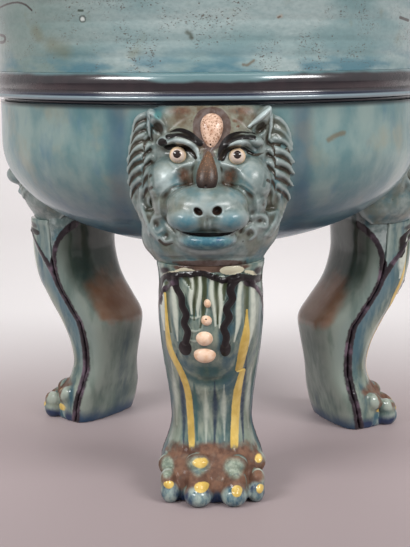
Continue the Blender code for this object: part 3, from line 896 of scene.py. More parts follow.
RIGHT_LOCKS = [
    ([(30.4, 197.6), (34.2, 196.4), (37.6, 192.8), (39.6, 188.0)], 1.7, 1.0),
    ([(31.0, 192.6), (35.4, 190.8), (38.6, 187.4), (40.4, 184.0)], 1.7, 1.0),
    ([(31.0, 187.6), (36.4, 186.0), (40.4, 181.8)], 1.9, 1.0),
    ([(31.8, 182.2), (37.2, 180.0), (41.4, 175.4)], 1.9, 1.0),
    ([(32.2, 176.6), (37.6, 174.2), (41.8, 169.4)], 1.9, 1.0),
    ([(32.4, 170.8), (37.4, 168.0), (41.2, 163.2)], 1.8, 1.0),
    ([(33.0, 164.8), (37.2, 161.4), (40.0, 156.4)], 1.7, 1.1),
    ([(28.8, 187.4), (31.0, 185.0), (31.6, 181.4)], 1.4, 1.0),
    ([(28.4, 182.0), (31.2, 179.6), (32.0, 175.6)], 1.4, 1.0),
    ([(28.2, 176.4), (31.0, 173.8), (32.0, 169.8)], 1.5, 1.0),
    ([(27.6, 170.6), (30.8, 168.2), (32.0, 164.0)], 1.5, 1.0),
    ([(37.8, 157.6), (36.4, 151.6), (32.8, 145.4), (28.8, 140.6)], 1.6, 1.3),
    ([(33.6, 160.0), (34.0, 153.6), (31.2, 147.0), (26.6, 141.4)], 1.6, 1.3),
    ([(26.2, 162.6), (29.4, 164.0), (31.0, 160.8), (30.6, 156.6), (31.4, 153.4)], 1.3, 1.1),
    ([(22.6, 158.6), (25.8, 160.0), (28.0, 157.0), (26.6, 153.6), (23.0, 153.8)], 1.4, 1.1),
    ([(19.8, 151.0), (23.8, 151.6), (27.2, 149.2), (26.6, 145.6), (23.0, 146.2)], 1.4, 1.1),
    ([(16.8, 145.6), (19.8, 146.0), (21.8, 142.8), (19.2, 140.2)], 1.3, 1.0),
]


def mane_floor(across, up):
    """How far out the ground lies at a point: the mane's bed, the belly or the neck."""
    bed_wide, bed_deep, bed_tall = MANE_BED_SIZES
    bed = 1 - (across / bed_wide) ** 2 - ((up - MANE_BED_MIDDLE[2]) / bed_tall) ** 2
    out = MANE_BED_MIDDLE[1] + bed_deep * sqrt(max(bed, 0.0))
    belly = float(belly_radius(up))
    if belly > abs(across):
        out = max(out, sqrt(belly**2 - across**2) - WALL)
    wide, deep, middle = neck_size(min(up, NECK_RINGS[-1, 0]))
    aside = abs(across - middle) / wide
    if aside < 1 and up < NECK_RINGS[-1, 0]:
        out = max(out, SEAM + deep * sqrt(1 - aside**2))
    return max(out, DEEPEST_FLOOR)


def add_lock(clay, path, root, tip):
    thick = np.linspace(root, tip, len(path))
    clay.rope([(x, mane_floor(x, z) + 0.45 * r, z, 1.1 * r) for (x, z), r in zip(path, thick)])


def mask_blank():
    clay = Clay()
    for middle, sizes, nod, roll, taper in FACE_FORMS:
        clay.ball(middle, sizes, nod, roll, taper)
    clay.loft(neck_loft())
    for path, root, tip in LEFT_LOCKS + RIGHT_LOCKS:
        add_lock(clay, path, root, tip)
    return grown_together(clay, "lion_mask", voxel=1.0, soften=5)


mask_mesh = mask_blank()
print("mask:", len(mask_mesh.vertices), "points before carving")

# %% [markdown]
# ### Carving the face
#
# Now the fine relief, line by line: sockets before lids, lids before brows. What is painted at the same
# place as it is carved keeps its name here: black slip on the brows, rust where the iron clay shows
# through, deep blue where the glaze lies thick on the lower lip.

# %% Eyes, brows and nose
def carve_eyes(relief):
    relief.lump((-14.2, 181.2), (9.4, 5.2), -2.6, roll=-8)
    relief.lump((12.8, 180.4), (9.4, 5.2), -2.6, roll=6)
    # The dark lines over the eyes are partly black slip and partly painted shade in the sockets.
    upper = [(-20.6, 184.6), (-17.6, 184.6), (-12.4, 184.6), (-8.2, 181.6), (-6.8, 179.6)]
    relief.line(upper, 1.9, -1.0, "slip", (0.6, 0.6), 1.0)
    upper = [(6.0, 179.2), (8.4, 183.0), (14.0, 184.2), (20.6, 180.8)]
    relief.line(upper, 1.6, -1.0, "slip", (1.2, 0.4), 1.0)
    # The pale on the lids is pale glaze and painted highlight.
    lid = [(-20.4, 186.2), (-15.8, 187.8), (-10.4, 186.6), (-6.6, 183.2), (-5.6, 179.0)]
    relief.line(lid, 2.0, 1.1, "pale_glaze_and_painted_light", (0.6, 0.7), 0.5)
    lid = [(9.4, 185.4), (13.4, 186.8), (17.8, 185.8), (21.8, 182.4)]
    relief.line(lid, 1.8, 1.0, "pale_glaze_and_painted_light", (0.6, 0.6), 0.5)
    relief.line([(-20.8, 179.0), (-15.6, 175.4), (-9.6, 177.4)], 1.8, 0.4, None, (0.4, 0.4))
    relief.line([(7.6, 176.6), (13.0, 174.4), (18.4, 177.2)], 1.8, 0.4, None, (0.4, 0.4))
    relief.line([(18.4, 181.4), (22.4, 180.0), (26.4, 180.8)], 1.1, -0.8, "shade", (1.0, 0.3), 0.6)
    # The same black slip and painted shade at the outer corner of the left eye.
    relief.lump((-22.6, 186.6), (2.5, 2.3), -0.4, coat="slip", soft=0.2)
    relief.line([(-22.6, 186.0), (-20.4, 184.0), (-16.6, 183.6)], 1.4, -0.4, "slip", (1.0, 0.8))


def carve_brows(relief):
    left = [(-19.8, 189.6), (-15.0, 191.4), (-9.6, 190.0), (-4.6, 186.4)]
    right = [(4.9, 179.4), (6.0, 184.2), (9.4, 188.2), (14.3, 189.8), (20.8, 189.2)]
    for brow in (left, right):
        relief.line(brow, 2.6, 0.8, "slip", (0.7, 0.8))


def carve_nose(relief):
    relief.line([(-4.6, 181.5), (-7.4, 174.0), (-8.0, 167.5)], 2.2, -0.8, None, (0.4, 0.5))
    relief.line([(2.6, 181.0), (4.4, 174.0), (4.8, 167.5)], 2.2, -0.8, None, (0.4, 0.5))
    relief.lump((-12.4, 170.6), (6.6, 8.6), -0.4, roll=30, coat="rust", soft=1.0, strength=0.9)
    relief.lump((9.6, 170.4), (6.6, 9.0), -0.4, roll=-30, coat="rust", soft=1.0, strength=0.9)
    relief.lump((-0.6, 180.6), (5.2, 7.4), 0.2, coat="umber", soft=0.9, strength=0.8)


print("carving: eyes, brows and nose")


# %% Cheeks, muzzle and mouth
def carve_cheeks(relief):
    left = [(-6.4, 178.4), (-10.4, 177.0), (-15.8, 173.6), (-21.0, 170.2), (-25.0, 168.0)]
    right = [(3.4, 178.2), (6.6, 177.0), (10.2, 174.8), (14.4, 171.8), (20.0, 168.2)]
    for crest, shift in ((left, -1.3), (right, 1.0)):
        relief.line([(x + 0.6 * shift, z - 3.6) for x, z in crest], 4.0, -0.6, None, (0.4, 0.4))
        relief.line(crest, 3.6, 0.3, None, (0.5, 0.3))
    left = [(-27.6, 193.0), (-28.6, 184.0), (-28.4, 174.0), (-26.6, 165.0)]
    right = [(27.6, 192.0), (28.2, 184.0), (27.8, 174.0), (25.8, 166.0)]
    for edge in (left, right):
        relief.line(edge, 2.2, -0.9, None, (0.5, 0.5))


def carve_muzzle(relief):
    left = [(-11.5, 166.8), (-17.8, 165.8), (-21.8, 161.0), (-22.2, 154.4), (-20.2, 148.4), (-16.6, 144.6)]
    right = [(9.5, 166.6), (15.4, 165.4), (19.8, 160.8), (20.6, 154.2), (18.6, 148.2), (14.6, 144.4)]
    for groove in (left, right):
        relief.line(groove, 2.4, -1.0, None, (0.3, 0.8))
    relief.lump((-11.6, 151.0), (13.0, 9.0), 0.0, roll=8, coat="sea", soft=1.0, strength=0.75)
    relief.lump((9.6, 151.4), (13.5, 9.0), 0.0, roll=-8, coat="sea", soft=1.0, strength=0.75)
    relief.lump((0.2, 159.6), (7.0, 5.0), 0.0, coat="sea", soft=1.0, strength=0.4)
    # The nostrils are sunk, and the dark paint in them is painted shade.
    relief.lump((-5.5, 156.3), (2.8, 1.9), -3.2, roll=-36, coat="hole", soft=0.35)
    relief.lump((3.3, 156.6), (2.8, 2.5), -3.4, roll=20, coat="hole", soft=0.35)
    relief.line([(-1.3, 154.4), (-1.3, 148.6)], 1.2, -0.4, None, (0.4, 1.0))
    relief.lump((-1.6, 164.0), (5.0, 3.6), 0.5)
    # Pale washes of painted light on the left cheek and on the chin, which lies in shade under the lip, and
    # a weak pale wash over the muzzle.
    for middle, sizes, strength in (
        ((-1.4, 158.0), (18.0, 8.0), 0.3),  # over the muzzle
        ((-22.0, 170.0), (9.0, 11.0), 0.7),  # left cheek
        ((-1.0, 135.4), (26.0, 7.0), 0.75),  # chin
    ):
        relief.lump(middle, sizes, 0.0, coat="pale_glaze_and_painted_light", soft=1.0, strength=strength)


def carve_mouth(relief):
    mouth = [(-15.6, 147.4), (-12.4, 145.8), (-7.0, 144.9), (-1.3, 144.7)]
    mouth += [(5.0, 144.7), (9.6, 145.4), (13.0, 147.0)]
    relief.line(mouth, 1.2, -2.0, "slip", (0.6, 0.6), 0.65)
    relief.lump((-1.2, 140.4), (18.5, 6.6), 0.3, coat="deep", soft=0.6)
    left = [(-18.2, 149.0), (-15.9, 144.4), (-12.8, 140.6), (-8.6, 138.4)]
    right = [(14.6, 148.2), (13.0, 144.2), (10.4, 140.8), (6.8, 138.6)]
    for corner in (left, right):
        relief.line(corner, 1.7, 0.6, "pale_glaze_and_painted_light", (0.6, 0.3), 0.15)
    under_lip = [(-12.6, 138.2), (-7.0, 136.2), (-1.0, 135.6), (5.4, 136.2), (10.6, 138.4)]
    relief.line(under_lip, 2.4, -0.5, None, (0.4, 0.4))


print("carving: cheeks, muzzle and mouth")


# %% Ears and forehead
def carve_ears(relief):
    relief.lump((-24.8, 193.4), (3.2, 4.4), -2.8, roll=38, coat="shade", soft=0.7)
    relief.lump((24.8, 193.0), (3.2, 4.6), -2.8, roll=-38, coat="shade", soft=0.7)
    # The pale on the ear ridges is painted highlight, strongest on the right ear.
    relief.line([(-29.3, 200.9), (-25.6, 199.0), (-22.0, 195.0)], 1.7, 1.2, "pale_glaze_and_painted_light", (0.7, 0.5), 0.3)
    relief.line([(29.7, 202.4), (24.8, 198.4), (19.2, 193.6)], 1.7, 1.8, "pale_glaze_and_painted_light", (0.7, 0.6), 0.9)
    relief.line([(-29.4, 200.6), (-29.6, 194.0), (-28.8, 187.4)], 1.3, 1.4, "pale_glaze_and_painted_light", (0.8, 0.4), 0.5)
    relief.line([(29.8, 202.2), (29.9, 195.0), (29.0, 187.4)], 1.3, 1.4, "pale_glaze_and_painted_light", (0.8, 0.4), 0.6)
    relief.lump((-25.0, 199.2), (3.8, 3.6), 0.2, roll=-46, coat="teal", soft=0.9)


def carve_forehead(relief):
    relief.lump((0.0, 197.5), (30.0, 15.0), 0.0, coat="earth", soft=0.5)
    relief.lump((-1.0, 184.0), (8.0, 9.0), 0.0, coat="earth", soft=0.9)
    relief.lump((1.0, 192.8), (8.8, 11.6), 1.0, soft=0.2)
    rim = [(1.0, 201.6), (-3.6, 200.2), (-6.2, 196.0), (-6.0, 191.0), (-3.6, 186.8), (0.2, 183.6)]
    relief.line(rim, 2.2, 0.4, "umber", (1.0, 0.8))
    rim = [(1.0, 201.6), (5.4, 200.4), (8.2, 196.4), (8.2, 191.6), (5.0, 186.8), (0.2, 183.6)]
    relief.line(rim, 2.2, 0.4, "umber", (1.0, 0.8))
    relief.lump((1.0, 192.4), (6.4, 9.8), -0.5, coat="umber", soft=0.1)
    spots = (((-13.6, 201.4), (11.0, 3.6)), ((15.0, 201.2), (11.0, 3.8)), ((12.6, 196.4), (3.0, 1.8)))
    for spot, sizes in spots:
        relief.lump(spot, sizes, 0.0, coat="rust", soft=0.9, strength=0.8)
    relief.lump((13.6, 193.8), (1.1, 0.7), 0.2, coat="rust", soft=0.3)


print("carving: ears and forehead")


# %% Mane and neck
def carve_mane(relief):
    """A thin ridge along each lock, painted shade in the gaps below them and in the eyes of the curls, and
    the brown of the mane's hollows.
    """
    for path, root, tip in LEFT_LOCKS + RIGHT_LOCKS:
        relief.line(path, 1.1, 0.2, None, (0.8, 0.5))
        if len(path) == 3:
            gap = [(x, z - 1.5 * root) for x, z in path]
            relief.line(gap, 1.5, -0.5, "shade", (0.9, 0.3), 0.8, 0.1)
    for side in (-1, 1):
        for across, up, tall, roll in ((35.0, 178.0, 26.0, 0.0), (29.0, 153.0, 18.0, 16.0)):
            relief.lump((side * across, up), (8.5, tall), 0.0, side * roll, "fur", 0.8, 0.9)
    curl_eyes = ((-28.2, 156.8, 1.5), (-25.8, 147.0, 1.5), (-20.8, 142.4, 1.7))
    curl_eyes += ((25.8, 156.8, 1.6), (23.8, 148.8, 1.6), (18.4, 142.8, 2.0))
    for across, up, size in curl_eyes:
        relief.lump((across, up), (size * 1.2, size * 1.6), -0.5, coat="shade", soft=1.0, strength=0.6)


def carve_neck(relief):
    """The iron band over the ledge, and the pooled glaze above it."""
    groove = [(-24.0, 130.6), (-12.0, 131.2), (0.0, 131.4), (12.0, 131.2), (24.0, 130.6)]
    relief.line(groove, 2.4, -0.7, None, (0.4, 0.4))
    relief.lump((0.0, 128.0), (25.5, 3.0), 0.4, coat="umber", soft=0.6)
    relief.lump((-1.0, 132.2), (25.0, 3.2), 0.0, coat="deep", soft=1.0, strength=0.5)


print("carving: mane and neck")


# %% The mask, carved
def carved(mesh, steps):
    """Moves the points that face forward by the relief, and lets them carry its paint."""
    points = points_of(mesh)
    facing = np.clip(-normals_of(mesh)[:, 1] * 1.6, 0.0, 1.0)
    relief = Relief(points[:, 0] / MM, points[:, 2] / MM)
    for step in steps:
        step(relief)
    points[:, 1] -= relief.rise * facing * MM
    move_points(mesh, points)
    for coat, amount in relief.coats.items():
        carry(mesh, coat, amount * soft_step(facing, 0.1, 0.5))
    return relief


mask_steps = (carve_forehead, carve_ears, carve_cheeks, carve_muzzle, carve_mouth, carve_nose)
mask_steps += (carve_eyes, carve_brows, carve_mane, carve_neck)
mask_relief = carved(mask_mesh, mask_steps)
print("mask: relief from", round(mask_relief.rise.min(), 1), "to", round(mask_relief.rise.max(), 1), "mm")

# %% [markdown]
# ### Fitting the mask to the bowl
#
# First the neck is flattened behind the seam, where the leg's back half goes, and the pooling of the
# glaze is measured while the mask is still whole. Two cuts make the mask flat under the ring and above
# the leg's ledge. Last, its back is pressed on to the belly: every point that would lie deep inside the
# wall moves out until it is just under the surface.

# %% Mask on the belly
UNDER_RING = 203.6
MASK_SINK = 1.6
SEAM_REACH = 25.6
SEAM_TOP = 160.0


def pressed_on_belly(mesh, sink):
    """Moves points that lie deeper than sink inside the belly out to that depth."""
    points = points_of(mesh)
    radius = np.hypot(points[:, 0], points[:, 1]) / MM
    wall = belly_radius(points[:, 2] / MM) - sink
    inside = (radius < wall) & (radius > 1)
    points[inside, :2] *= (wall[inside] / radius[inside])[:, None]
    move_points(mesh, points)


def flush_with_seam(mesh):
    """Flattens what would stand behind the seam, where the leg's back half is."""
    points = points_of(mesh)
    across, out, up = abs(points[:, 0]) / MM, -points[:, 1] / MM, points[:, 2] / MM
    behind = (out < WALL + SEAM) & (across < SEAM_REACH) & (up < SEAM_TOP)
    points[behind, 1] = -(WALL + SEAM + SEAM_GAP) * MM
    move_points(mesh, points)


flush_with_seam(mask_mesh)
carry_pooling(mask_mesh)
trimmed(mask_mesh, [((0, 0, UNDER_RING * MM), (0, 0, 1)), ((0, 0, (LEDGE + LEDGE_GAP) * MM), (0, 0, -1))])
pressed_on_belly(mask_mesh, MASK_SINK)
mask_mesh.shade_smooth()
print("mask:", len(mask_mesh.vertices), "points")

# %% [markdown]
# ## The legs
#
# Each leg is pressed in two halves, front and back, which meet along a seam at the side. A loft makes
# each half: horizontal sections whose sizes change smoothly from the sole to the ledge under the mask.

# %% Leg sections
LEG_TOP = 126.9
LOFT_STEP = 1.4
# Each station: its height, how far its back, seam and front stand out from the wall, its half width.
STATIONS = np.array(
    [
        (0.0, -40.0, -31.0, -5.0, 25.5),
        (7.5, -42.5, -33.0, -3.5, 26.6),
        (14.0, -44.0, -34.5, -5.5, 26.8),
        (20.0, -45.5, -36.0, -10.0, 26.2),
        (26.5, -47.5, -36.8, -15.0, 23.6),
        (37.0, -50.0, -37.5, -17.5, 21.0),
        (50.0, -52.6, -37.5, -14.5, 21.8),
        (63.0, -54.8, -36.0, -7.5, 23.6),
        (69.5, -53.0, -32.2, -3.4, 24.4),
        (77.0, -46.6, -27.0, 1.6, 25.0),
        (90.0, -35.8, -19.0, 8.5, 25.9),
        (105.0, -30.5, -15.0, 11.5, 26.2),
        (117.0, -30.5, -14.0, 12.4, 26.2),
        (123.6, -31.0, -14.0, 12.8, 26.8),
        (125.8, -31.4, -14.0, 13.2, 27.2),
        (160.0, -33.0, -14.0, 13.0, 27.0),
    ]
)


def leg_at(height):
    """Back, seam, front and half width at a height, on a smooth line through the stations."""
    line = smooth_path(STATIONS, 400)
    return [float(np.interp(height, line[:, 0], line[:, column])) for column in range(1, 5)]


def half_ring(height, front, squareness, count):
    """One half of the leg's section: round for the front half, squarer for the back half."""
    back_out, seam, front_out, wide = leg_at(height)
    sign = 1 if front else -1
    depth = (front_out - seam if front else seam - back_out) - SEAM_GAP
    ring = []
    for i in range(count + 1):
        turn = -pi / 2 + pi * i / count
        across = wide * abs(sin(turn)) ** squareness * (1 if turn > 0 else -1)
        out = seam + sign * (SEAM_GAP + depth * max(0.0, cos(turn)) ** squareness)
        ring.append((across, out, height))
    return ring


print("leg:", len(STATIONS), "stations")

# %% [markdown]
# ### Front half of the leg
#
# The toes and their knuckles are soft balls that grow on to the lofted half. A knuckle has to sit on the
# surface wherever it stands, so `leg_surface` tells how far out that lies.

# %% Front half of the leg
FRONT_SQUARENESS = 0.8
# Each toe: its middle across, its half width, how far forward its tip reaches, and its knuckle:
# across, up, half width and half height.
TOES = (
    (-21.6, 5.3, -2.6, -23.6, 16.0, 4.8, 5.2),
    (-7.0, 8.0, 5.4, -6.8, 19.6, 7.2, 4.9),
    (11.2, 7.6, 4.8, 12.0, 18.2, 6.6, 5.0),
    (22.6, 4.8, -3.2, 24.4, 16.8, 4.0, 4.8),
)


def leg_surface(across, up):
    """How far out the front half's surface lies at a point across and up."""
    _, seam, front_out, wide = leg_at(up)
    aside = min(abs(across) / wide, 1.0) ** (1 / FRONT_SQUARENESS)
    return seam + (front_out - seam) * sqrt(1 - aside**2) ** FRONT_SQUARENESS


def add_toes(clay):
    for across, half, reach, beside, up, wide, tall in TOES:
        clay.ball((across, reach - half * 1.3, 5.6), (half, half * 1.3, 6.6), nod=4)
        between = 0.4 * across + 0.6 * beside
        clay.ball((between, reach - half * 1.5, 11.6), (half * 0.8, half * 1.2, 5.0), nod=20)
        clay.ball((beside, leg_surface(beside, up) - 2.6, up), (wide, 6.0, tall), nod=24)


def leg_front_blank():
    clay = Clay()
    heights = np.arange(0.0, LEG_TOP + 5, LOFT_STEP)
    clay.loft([half_ring(height, True, FRONT_SQUARENESS, 48) for height in heights])
    add_toes(clay)
    return grown_together(clay, "leg_front", voxel=1.0, soften=2)


leg_front = leg_front_blank()
print("leg's front half:", len(leg_front.vertices), "points before carving")

# %% [markdown]
# ### Carving the leg
#
# The flutes of the knee, the stripes and the trails of slip are raised and painted together, as on the
# mask. The claws are yellow glaze on low bumps, and bare clay shows between the toes.

# %% Knee, shin and stripes
def carve_knee(relief):
    """The fluted fur between the trails of slip, and the soft edge of the knee pad."""
    ridges = (
        [(-9.2, 122.0), (-8.8, 116.0), (-9.8, 110.0), (-9.4, 103.0)],
        [(-5.4, 122.0), (-5.2, 116.0), (-6.2, 110.0), (-6.4, 102.0)],
        [(0.6, 122.0), (0.8, 114.0), (1.8, 106.0), (2.2, 97.0)],
        [(5.4, 121.0), (4.6, 114.0), (4.8, 106.0), (4.2, 96.0)],
        [(14.6, 118.0), (13.6, 108.0), (13.4, 98.0), (11.4, 88.0)],
        [(20.4, 118.0), (21.0, 106.0), (20.4, 94.0), (18.6, 84.0)],
        [(-18.8, 118.0), (-18.0, 108.0), (-17.2, 98.0), (-16.6, 88.0)],
        [(-23.8, 116.0), (-24.2, 104.0), (-23.4, 92.0)],
    )
    for path in ridges:
        relief.line(path, 2.6, 0.8, "pale_glaze_and_painted_light", (0.7, 0.3), 0.85, 0.2)
    gaps = (
        [(-12.4, 121.5), (-10.6, 118.6), (-9.4, 115.6)],
        [(-7.2, 122.5), (-7.0, 116.0), (-8.0, 108.0), (-8.2, 100.0)],
        [(-3.2, 122.5), (-3.0, 114.0), (-3.6, 104.0), (-5.2, 96.0)],
        [(3.0, 121.5), (2.6, 114.0), (3.2, 106.0), (3.2, 98.0)],
        [(8.6, 119.5), (6.8, 116.6), (6.2, 110.0)],
        [(17.4, 118.0), (17.4, 106.0), (16.8, 96.0)],
        [(-21.2, 117.0), (-21.4, 105.0), (-20.0, 92.0)],
    )
    for path in gaps:
        relief.line(path, 1.7, -1.0, "moss", (1.1, 0.4), 0.7)
    for up in (101.6, 94.8, 89.4):
        relief.line([(-10.6, up), (-8.2, up - 0.7), (-5.6, up)], 1.1, 0.3, "pale_glaze_and_painted_light", (0.5, 0.5), 0.4)
    pad = [(-17.0, 82.0), (-15.6, 73.0), (-11.0, 66.4), (-2.6, 63.0)]
    pad += [(6.2, 64.6), (11.2, 70.6), (13.6, 80.0)]
    relief.lump((-2.2, 84.0), (15.5, 22.5), 0.9, soft=0.3)
    relief.line(pad, 4.6, -0.6, "sea", (0.4, 0.4), 0.8, 0.1)
    relief.lump((-2.0, 71.5), (15.0, 9.5), 0.0, coat="sea", soft=1.0)
    for side in (-1, 1):
        relief.lump((side * 19.5, 38.0), (7.0, 24.0), 0.0, coat="moss", soft=1.0, strength=0.55)


def carve_shin(relief):
    for path, coat in (
        ([(-9.0, 64.0), (-8.2, 50.0), (-7.6, 30.0)], "sea"),
        ([(-3.2, 60.0), (-2.8, 46.0), (-3.0, 28.0)], "pale_glaze_and_painted_light"),
        ([(1.6, 64.0), (1.8, 48.0), (1.4, 28.0)], "navy"),
        ([(6.4, 62.0), (6.4, 48.0), (6.6, 30.0)], "pale_glaze_and_painted_light"),
        ([(-17.4, 80.0), (-15.4, 60.0), (-14.6, 44.0), (-14.8, 26.0)], "navy"),
        ([(-20.4, 74.0), (-18.6, 56.0), (-18.4, 36.0)], "pale_glaze_and_painted_light"),
        ([(18.0, 84.0), (16.8, 62.0), (15.8, 46.0), (16.6, 28.0)], "navy"),
        ([(20.6, 70.0), (19.0, 50.0), (19.2, 34.0)], "pale_glaze_and_painted_light"),
    ):
        rise = 0.4 if coat == "pale_glaze_and_painted_light" else -0.5
        relief.line(path, 3.2, rise, coat, (0.2, 0.3), 0.6 if coat == "pale_glaze_and_painted_light" else 0.9, 0.0)


def carve_stripes(relief):
    left = [(-22.6, 112.0), (-22.1, 100.0), (-21.6, 90.0), (-20.3, 80.8), (-15.8, 70.0)]
    left += [(-12.4, 58.4), (-11.2, 44.9), (-10.4, 25.0)]
    relief.line(left, 2.3, 0.7, "stripe", (0.3, 1.0), 0.95)
    right = [(17.8, 104.0), (17.4, 92.0), (15.4, 79.0), (14.0, 71.0)]
    relief.line(right, 3.2, 0.7, "stripe", (0.2, 0.8), 0.95)
    below = [(15.9, 69.4), (13.9, 60.0), (12.6, 48.0), (11.6, 25.0)]
    relief.line(below, 2.9, 0.7, "stripe", (0.7, 1.0), 0.95)
    relief.line([(12.2, 69.8), (17.4, 71.0)], 0.9, -0.9, "navy", (0.5, 0.5), 0.8)


print("carving: knee, shin and stripes")


# %% Ledge, trails and paw
def carve_ledge(relief):
    """The slip that was trailed along the top edge, over scallops of cream clay."""
    relief.lump((0.0, 126.2), (25.0, 3.0), 0.0, coat="rust", soft=0.5)
    relief.lump((10.4, 124.9), (6.6, 2.5), 0.6, coat="cream", soft=0.2)
    relief.line([(-17.2, 124.0), (-13.0, 125.3), (-8.2, 125.0)], 1.1, 0.3, "cream", (0.6, 0.5), 0.9)
    relief.line([(-24.0, 119.6), (-21.6, 122.6), (-18.2, 123.6)], 1.0, 0.3, "cream", (0.6, 0.6), 0.9)
    relief.line([(17.2, 123.6), (20.4, 122.6), (22.4, 120.8)], 1.3, 0.3, "cream", (0.7, 0.5), 0.9)
    border = [(-25.2, 112.6), (-24.2, 118.0), (-21.4, 121.2), (-17.4, 122.3), (-10.4, 122.7), (-4.4, 123.6)]
    border += [(0.6, 121.9), (6.2, 119.9), (9.6, 120.7), (14.6, 121.2), (19.4, 119.8), (24.4, 118.6)]
    relief.line(border, 2.0, 1.1, "slip", (0.7, 1.2))
    relief.lump((-18.8, 119.8), (4.2, 3.2), 0.3, roll=-20, coat="slip", soft=0.5)
    relief.lump((20.4, 118.2), (4.6, 2.2), 0.3, coat="slip", soft=0.5)
    relief.line([(-24.9, 112.0), (-25.1, 105.4)], 1.6, 0.5, "slip", (0.8, 0.5))
    relief.lump((-22.5, 123.6), (6.0, 3.8), 0.3, roll=24, coat="slip", soft=1.0, strength=0.8)
    relief.lump((23.4, 123.0), (5.0, 4.4), 0.3, roll=-20, coat="slip", soft=1.0, strength=0.8)


def carve_trails(relief):
    left = [(-17.2, 121.0), (-16.8, 116.0), (-14.4, 111.6), (-14.0, 107.0), (-12.0, 102.4)]
    left += [(-13.2, 98.0), (-11.4, 93.6), (-12.6, 88.0)]
    right = [(13.6, 121.2), (10.4, 117.8), (9.6, 114.4), (10.6, 110.4), (7.6, 105.8), (9.0, 101.0)]
    right += [(6.2, 96.2), (7.6, 91.4), (6.9, 87.0)]
    relief.line(left, 2.3, 1.1, "slip", (1.0, 1.0))
    relief.line(right, 2.4, 1.1, "slip", (1.2, 1.0))
    relief.lump((-12.9, 84.4), (3.6, 4.9), 1.1, coat="slip", soft=0.2)
    relief.lump((7.1, 84.2), (3.0, 4.9), 1.1, coat="slip", soft=0.2)


def carve_paw(relief):
    """Iron clay shows matt between the toes. The knuckles and claws carry yellow and pale glaze."""
    relief.lump((-1.0, 17.0), (42.0, 15.5), 0.0, coat="bare", soft=0.45)
    for middle, sizes, coat in (
        ((-23.2, 17.2), (5.2, 5.8), "fog"),
        ((-7.2, 19.6), (8.8, 6.2), "fog"),
        ((-6.0, 20.8), (6.0, 3.6), "yellow"),
        ((11.6, 18.4), (8.2, 6.2), "fog"),
        ((24.4, 19.2), (3.0, 2.8), "yellow"),
    ):
        relief.lump(middle, sizes, 0.3, coat=coat, soft=0.7)
    for middle, sizes in (
        ((-22.4, 10.4), (3.4, 2.3)),
        ((-5.4, 11.0), (4.8, 2.9)),
        ((12.6, 9.2), (3.4, 3.3)),
        ((24.6, 8.0), (2.4, 2.8)),
    ):
        relief.lump(middle, sizes, 0.9, coat="yellow", soft=0.4)
    for across, half, reach, *_ in TOES:
        relief.lump((across, 5.2), (half * 1.2, 8.6), 0.0, coat="wet", soft=0.6)


knee_steps = (carve_knee, carve_shin, carve_stripes, carve_paw, carve_ledge, carve_trails)
leg_relief = carved(leg_front, knee_steps)
print("leg's front half: relief up to", round(leg_relief.rise.max(), 1), "mm")

# %% [markdown]
# ### Slip along the seam
#
# The potter covered the joint of the two halves with manganese slip. It follows the seam on both halves,
# so one function paints it on either mesh, from how far each point lies behind the seam.

# %% Slip along the seam
SOLE_LIFT = 0.2
SLIP_WIDTH = 4.8
SLIP_PROUD = 0.6
# The line of slip bends back under the belly at its top, and a branch runs forward to the ledge. Each
# point: how far behind the seam it lies, and how high.
SLIP_LINE = ((0, 0), (0, 50), (0, 90), (1.6, 103), (6.2, 114), (12.6, 122.6), (20, 130), (28, 136))
SLIP_BRANCH = ((-26, 120), (-19, 116), (-10, 108), (-3, 98), (0, 90))


def seam_share(mesh, wide):
    """Manganese slip covers the joint of the halves and stands proud of it. Also names the flank beside
    it, the shoulder above its bend and the leg's rear, for the glazes."""
    points, normals = points_of(mesh), normals_of(mesh)
    across, up = abs(points[:, 0]) / MM, points[:, 2] / MM
    line = smooth_path(STATIONS, 400)
    behind = np.interp(up, line[:, 0], line[:, 2]) + WALL + points[:, 1] / MM
    share = np.zeros(len(up))
    for path, width in ((SLIP_LINE, wide), (SLIP_BRANCH, wide * 0.8)):
        near, away, _ = Relief(behind, up).along(path, width * 1.5)
        reach = width * (1 - 0.45 * soft_step(up[near], 96, 114))
        share[near] = np.maximum(share[near], 1 - soft_step(away, reach * 0.2, reach))
    share *= soft_step(across, 14, 18)
    points[:, 0] += np.sign(points[:, 0]) * SLIP_PROUD * share * abs(normals[:, 0]) * MM
    move_points(mesh, points)
    carry(mesh, "seam", share)
    arch = smooth_path(SLIP_LINE[2:], 60)
    over_arch = up - np.interp(behind, arch[:, 0], arch[:, 1])
    carry(mesh, "shoulder", soft_step(over_arch, 0, 3) * (behind > 0))
    flank = 1 - soft_step(abs(behind), 5, np.where(behind > 0, 13, 18))
    carry(mesh, "flank", flank * soft_step(up, 20, 60) * (1 - 0.6 * soft_step(up, 88, 112)))
    carry(mesh, "rear", soft_step(behind, 11, 19))


carry_pooling(leg_front)
trimmed(leg_front, [((0, 0, SOLE_LIFT * MM), (0, 0, -1)), ((0, 0, LEG_TOP * MM), (0, 0, 1))])
seam_share(leg_front, SLIP_WIDTH)
leg_front.shade_smooth()
print("leg's front half:", len(leg_front.vertices), "points")

# %% [markdown]
# ### Back half of the leg
#
# The back half is plain, and squarer than the front. It reaches up behind the mask's neck, and what would
# stand up into the bowl is lowered to just under the belly's surface.

# %% Back half of the leg
BACK_TOP = 158.0
BACK_SQUARENESS = 0.66
LEG_SINK = 2.0


def leg_back_blank():
    clay = Clay()
    heights = np.arange(0.0, BACK_TOP, LOFT_STEP)
    clay.loft([half_ring(height, False, BACK_SQUARENESS, 40) for height in heights])
    return grown_together(clay, "leg_back", voxel=1.2, soften=2, rounds=0)


